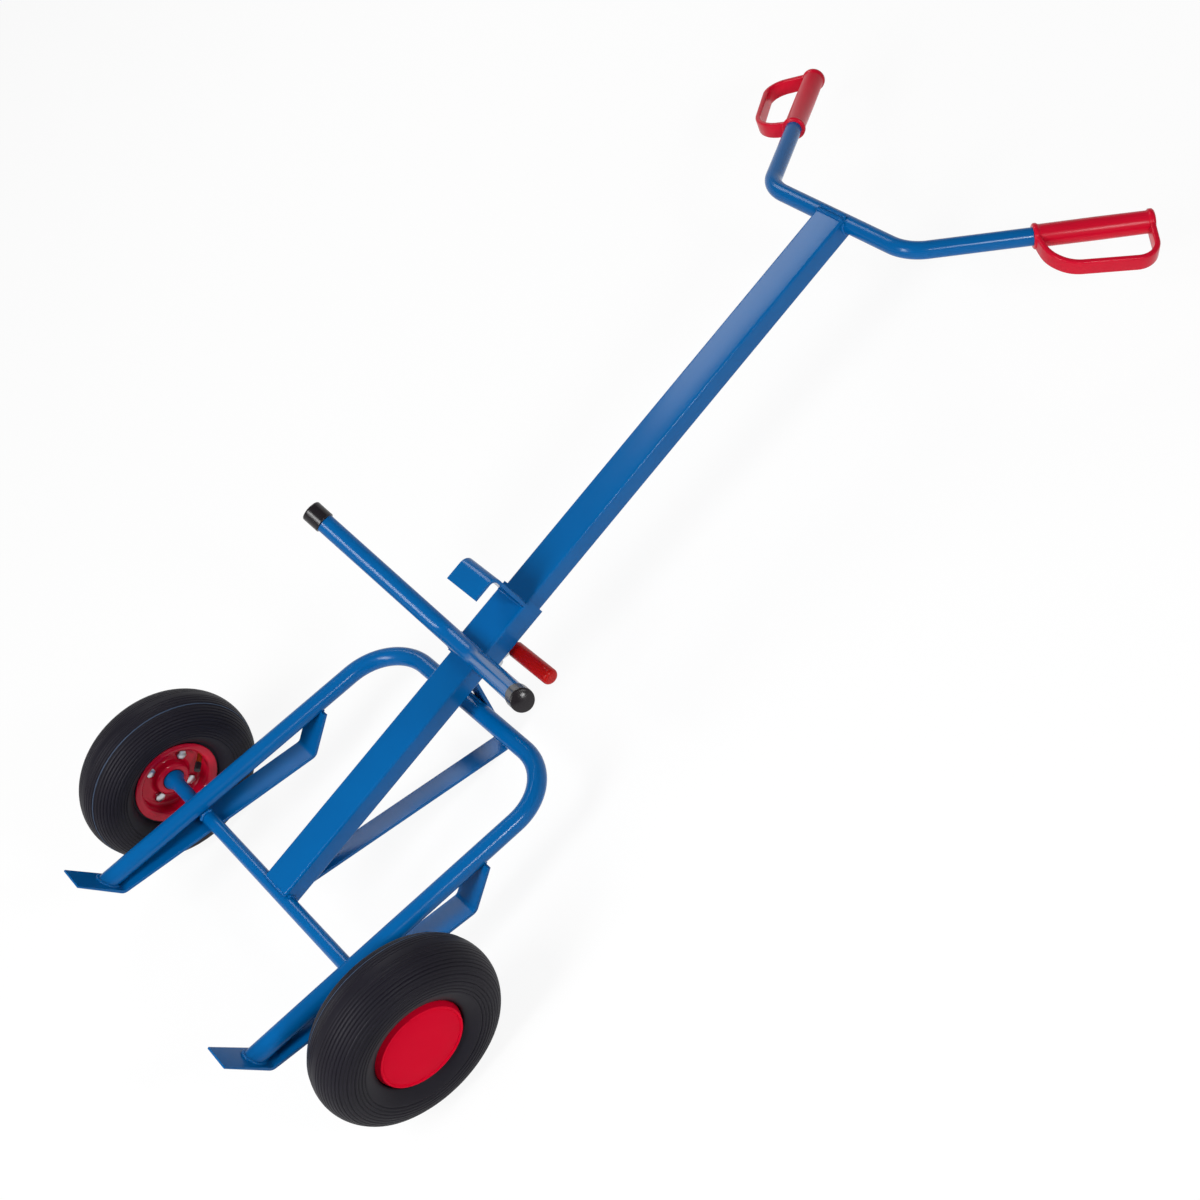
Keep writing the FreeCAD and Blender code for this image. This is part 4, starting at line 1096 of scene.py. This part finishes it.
    def cap_profile(self) -> list[Pair]:
        """The hub cap: a slightly domed disc, a groove, a rolled lip and a wall down to the rim.

        Returns:
            The closed profile.
        """
        face, edge, lip = self.cap_face, self.rim_flange - TOUCH, self.rim_flange - 3.8
        rim_face = self.rim_half + self.sheet + TOUCH
        disc = [(face - 2, PIN_HOLE), (face + 0.4, PIN_HOLE), (face + 0.3, lip * 0.4), (face, lip - 6.5)]
        groove = [(face - 0.6, lip - 4.6), (face - 0.9, lip - 3.9), (face - 0.6, lip - 3.3),
                  (face, lip - 2.8)]
        roll = [(face + 0.9 * math.sin(angle), lip - 1.4 - 1.4 * math.cos(angle))
                for angle in (math.pi * step / 8 for step in range(1, 8))]
        wall = [(face - 1, lip), (rim_face + 3, edge - 0.6), (rim_face, edge), (rim_face, edge - 2),
                (face - 2, lip - 3)]
        return disc + groove + roll + wall

    def bolts(self) -> Shape:
        """Hexagon bolts with chamfered heads, on the rim's inner side.

        Returns:
            All bolts as one shape.
        """
        shape = Shape()
        corner = self.bolt_flats / math.sqrt(3)
        head = ((-2.5, corner), (-7.2, corner), (-7.8, corner * 0.86))
        shank = [(11.5, 3.4), (11.0, 4.0), (-2.6, 4.0), (-2.6, PIN_HOLE), (11.5, PIN_HOLE)]
        for index in range(self.bolt_count):
            angle = math.radians(self.bolt_turn + 360 / self.bolt_count * index)
            place = Vector((0, self.bolt_circle * math.sin(angle), self.bolt_circle * math.cos(angle)))
            # No two heads are tightened to the same turn.
            turns = [math.pi / 3 * flat + 0.3 * index for flat in range(6)]
            rings = [[place + Vector((x, radius * math.sin(turn), radius * math.cos(turn))) for turn in turns]
                     for x, radius in head]
            shape.join(loft(rings)).join(revolve(shank, segments=24).moved(Quaternion(), place))
        return shape


@dataclass(frozen=True)
class Softbox:
    """One soft light, in metres of the part's frame and watts."""

    name: str
    place: Triple
    target: Triple
    size: Pair
    power: float

    def hang(self) -> None:
        """Hangs the light in the scene."""
        data = bpy.data.lights.new(self.name, "AREA")
        data.energy = self.power
        data.shape = "RECTANGLE"
        data.size, data.size_y = self.size
        light = place_object(self.name, data)
        light.location = self.place
        light.rotation_mode = "QUATERNION"
        light.rotation_quaternion = (Vector(self.target) - Vector(self.place)).to_track_quat("-Z", "Y")


@dataclass
class Studio:
    """Camera, pale floor and wall, and soft lights. The camera was fitted in the mast's frame."""

    mast: MastFrame
    camera_place: Triple = (1699.722, -1925.372, 401.693)
    right: Triple = (0.6192719, 0.4619279, 0.6349212)  # The picture's right and down.
    down: Triple = (0.4595649, 0.4424144, -0.7701101)
    lens_mm: float = 58.519
    sensor_mm: float = 36.0
    sight: float = 200.0  # How far the camera sees, in metres.
    paper_colour: str = "#F4F4F4"
    paper_glow: float = 0.9  # The share of plain white that the eye sees on floor and wall.
    room: Pair = (60.0, 20.0)  # The floor's reach and the wall's height, in metres.
    world_strength: float = 0.2
    lamps: tuple[Softbox, ...] = (
        Softbox("key_softbox", (0.45, -1.2, 2.15), (0.0, 0.5, 0.2), (0.6, 1.6), 57.0),
        Softbox("side_softbox", (2.1, 1.0, 1.6), (0.1, 0.6, 0.2), (0.4, 0.4), 24.0),
        Softbox("head_softbox", (-1.65, 1.5, 1.85), (0.0, 0.8, 0.2), (0.9, 0.9), 17.0))

    def build(self) -> None:
        """Sets up the view, the floor, the background and the lights."""
        scene = bpy.context.scene
        scene.view_settings.view_transform = "Standard"
        right, down = self.mast.direction(*self.right), self.mast.direction(*self.down)
        back = right.cross(-down).normalized()
        data = bpy.data.cameras.new("camera")
        data.lens = self.lens_mm
        data.sensor_width = self.sensor_mm
        data.clip_end = self.sight
        camera = place_object("camera", data)
        turn = Matrix((right, -down, back)).transposed().to_4x4()
        camera.matrix_world = Matrix.Translation(self.mast.point(*self.camera_place)) @ turn
        scene.camera = camera
        self.surround()
        self.background()
        for lamp in self.lamps:
            lamp.hang()

    def surround(self) -> None:
        """Lays a wide, pale, matt floor under the trolley, with a low wall far round it."""
        reach, height = self.room
        ground = [Vector((x * reach, y * reach, 0)) for x, y in ((-1, -1), (1, -1), (1, 1), (-1, 1))]
        ring = round_section(reach, 96)
        wall = loft([[Vector((x, y, level)) for x, y in ring] for level in (0.0, height)], capped=False)
        paper = self.paper()
        for name, shape in (("studio_floor", Shape(ground, [(0, 1, 2, 3)])), ("studio_wall", wall)):
            mesh = bpy.data.meshes.new(name)
            mesh.from_pydata(shape.corners, [], shape.faces)
            mesh.materials.append(paper)
            piece = place_object(name, mesh)

    def paper(self) -> bpy.types.Material:
        """White studio paper: it takes the trolley's shadow, and looks nearly white from every side.

        Returns:
            The material.
        """
        material = bpy.data.materials.new("matt_white_paper")
        clear_nodes(material)
        tree = material.node_tree
        rays = add_node(tree, "ShaderNodeLightPath").outputs
        seen = add_node(tree, "ShaderNodeMath", None, {0: rays["Is Camera Ray"], 1: rays["Is Glossy Ray"]},
                        operation="ADD", use_clamp=True)
        share = add_node(tree, "ShaderNodeMath", {1: self.paper_glow}, {0: seen.outputs["Value"]},
                         operation="MULTIPLY")
        paper = add_node(tree, "ShaderNodeBsdfDiffuse", {"Color": linear_colour(self.paper_colour)})
        glow = add_node(tree, "ShaderNodeEmission", {"Color": linear_colour(WHITE), "Strength": 1.0})
        shader = add_node(
            tree, "ShaderNodeMixShader", None,
            {0: share.outputs["Value"], 1: paper.outputs["BSDF"], 2: glow.outputs["Emission"]})
        add_node(tree, "ShaderNodeOutputMaterial", None, {"Surface": shader.outputs["Shader"]})
        return material

    def background(self) -> None:
        """Surrounds the studio with an even white light."""
        world = bpy.data.worlds.new("studio_white")
        clear_nodes(world)
        tree = world.node_tree
        light = add_node(tree, "ShaderNodeBackground",
                         {"Color": linear_colour(WHITE), "Strength": self.world_strength})
        add_node(tree, "ShaderNodeOutputWorld", None, {"Surface": light.outputs["Background"]})
        bpy.context.scene.world = world


def dress_packed_nodes(frame: dict) -> None:
    """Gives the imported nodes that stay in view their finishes.
    """
    by_slot = {finish.slot: finish for finish in FINISHES}
    for entry in frame["record"]["subparts"]:
        piece = frame["nodes"][entry["node"]]
        piece.data.materials.clear()
        # The bearings get the black hub finish as painted shade inside the rim.
        finish = BLACK_HUB_AND_PAINTED_SHADE if entry["node"].endswith("_bearings") else by_slot[entry["material_slot"]]
        piece.data.materials.append(finish.material())


def main() -> None:
    """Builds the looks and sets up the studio."""
    logging.basicConfig(level=logging.INFO, format="%(name)s: %(message)s")
    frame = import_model()
    mast = MastFrame(frame)
    dress_packed_nodes(frame)
    for assembly in (Upright(mast), Base(mast), Slider(mast), Wheel(mast, side=Side.LEFT),
                     Wheel(mast, side=Side.RIGHT)):
        assembly.build()
        assembly.dress()
        LOG.info("%s: %d pieces", type(assembly).__name__, len(assembly.pieces))
    Studio(mast).build()
    bpy.context.view_layer.update()


if __name__ == "__main__":
    main()
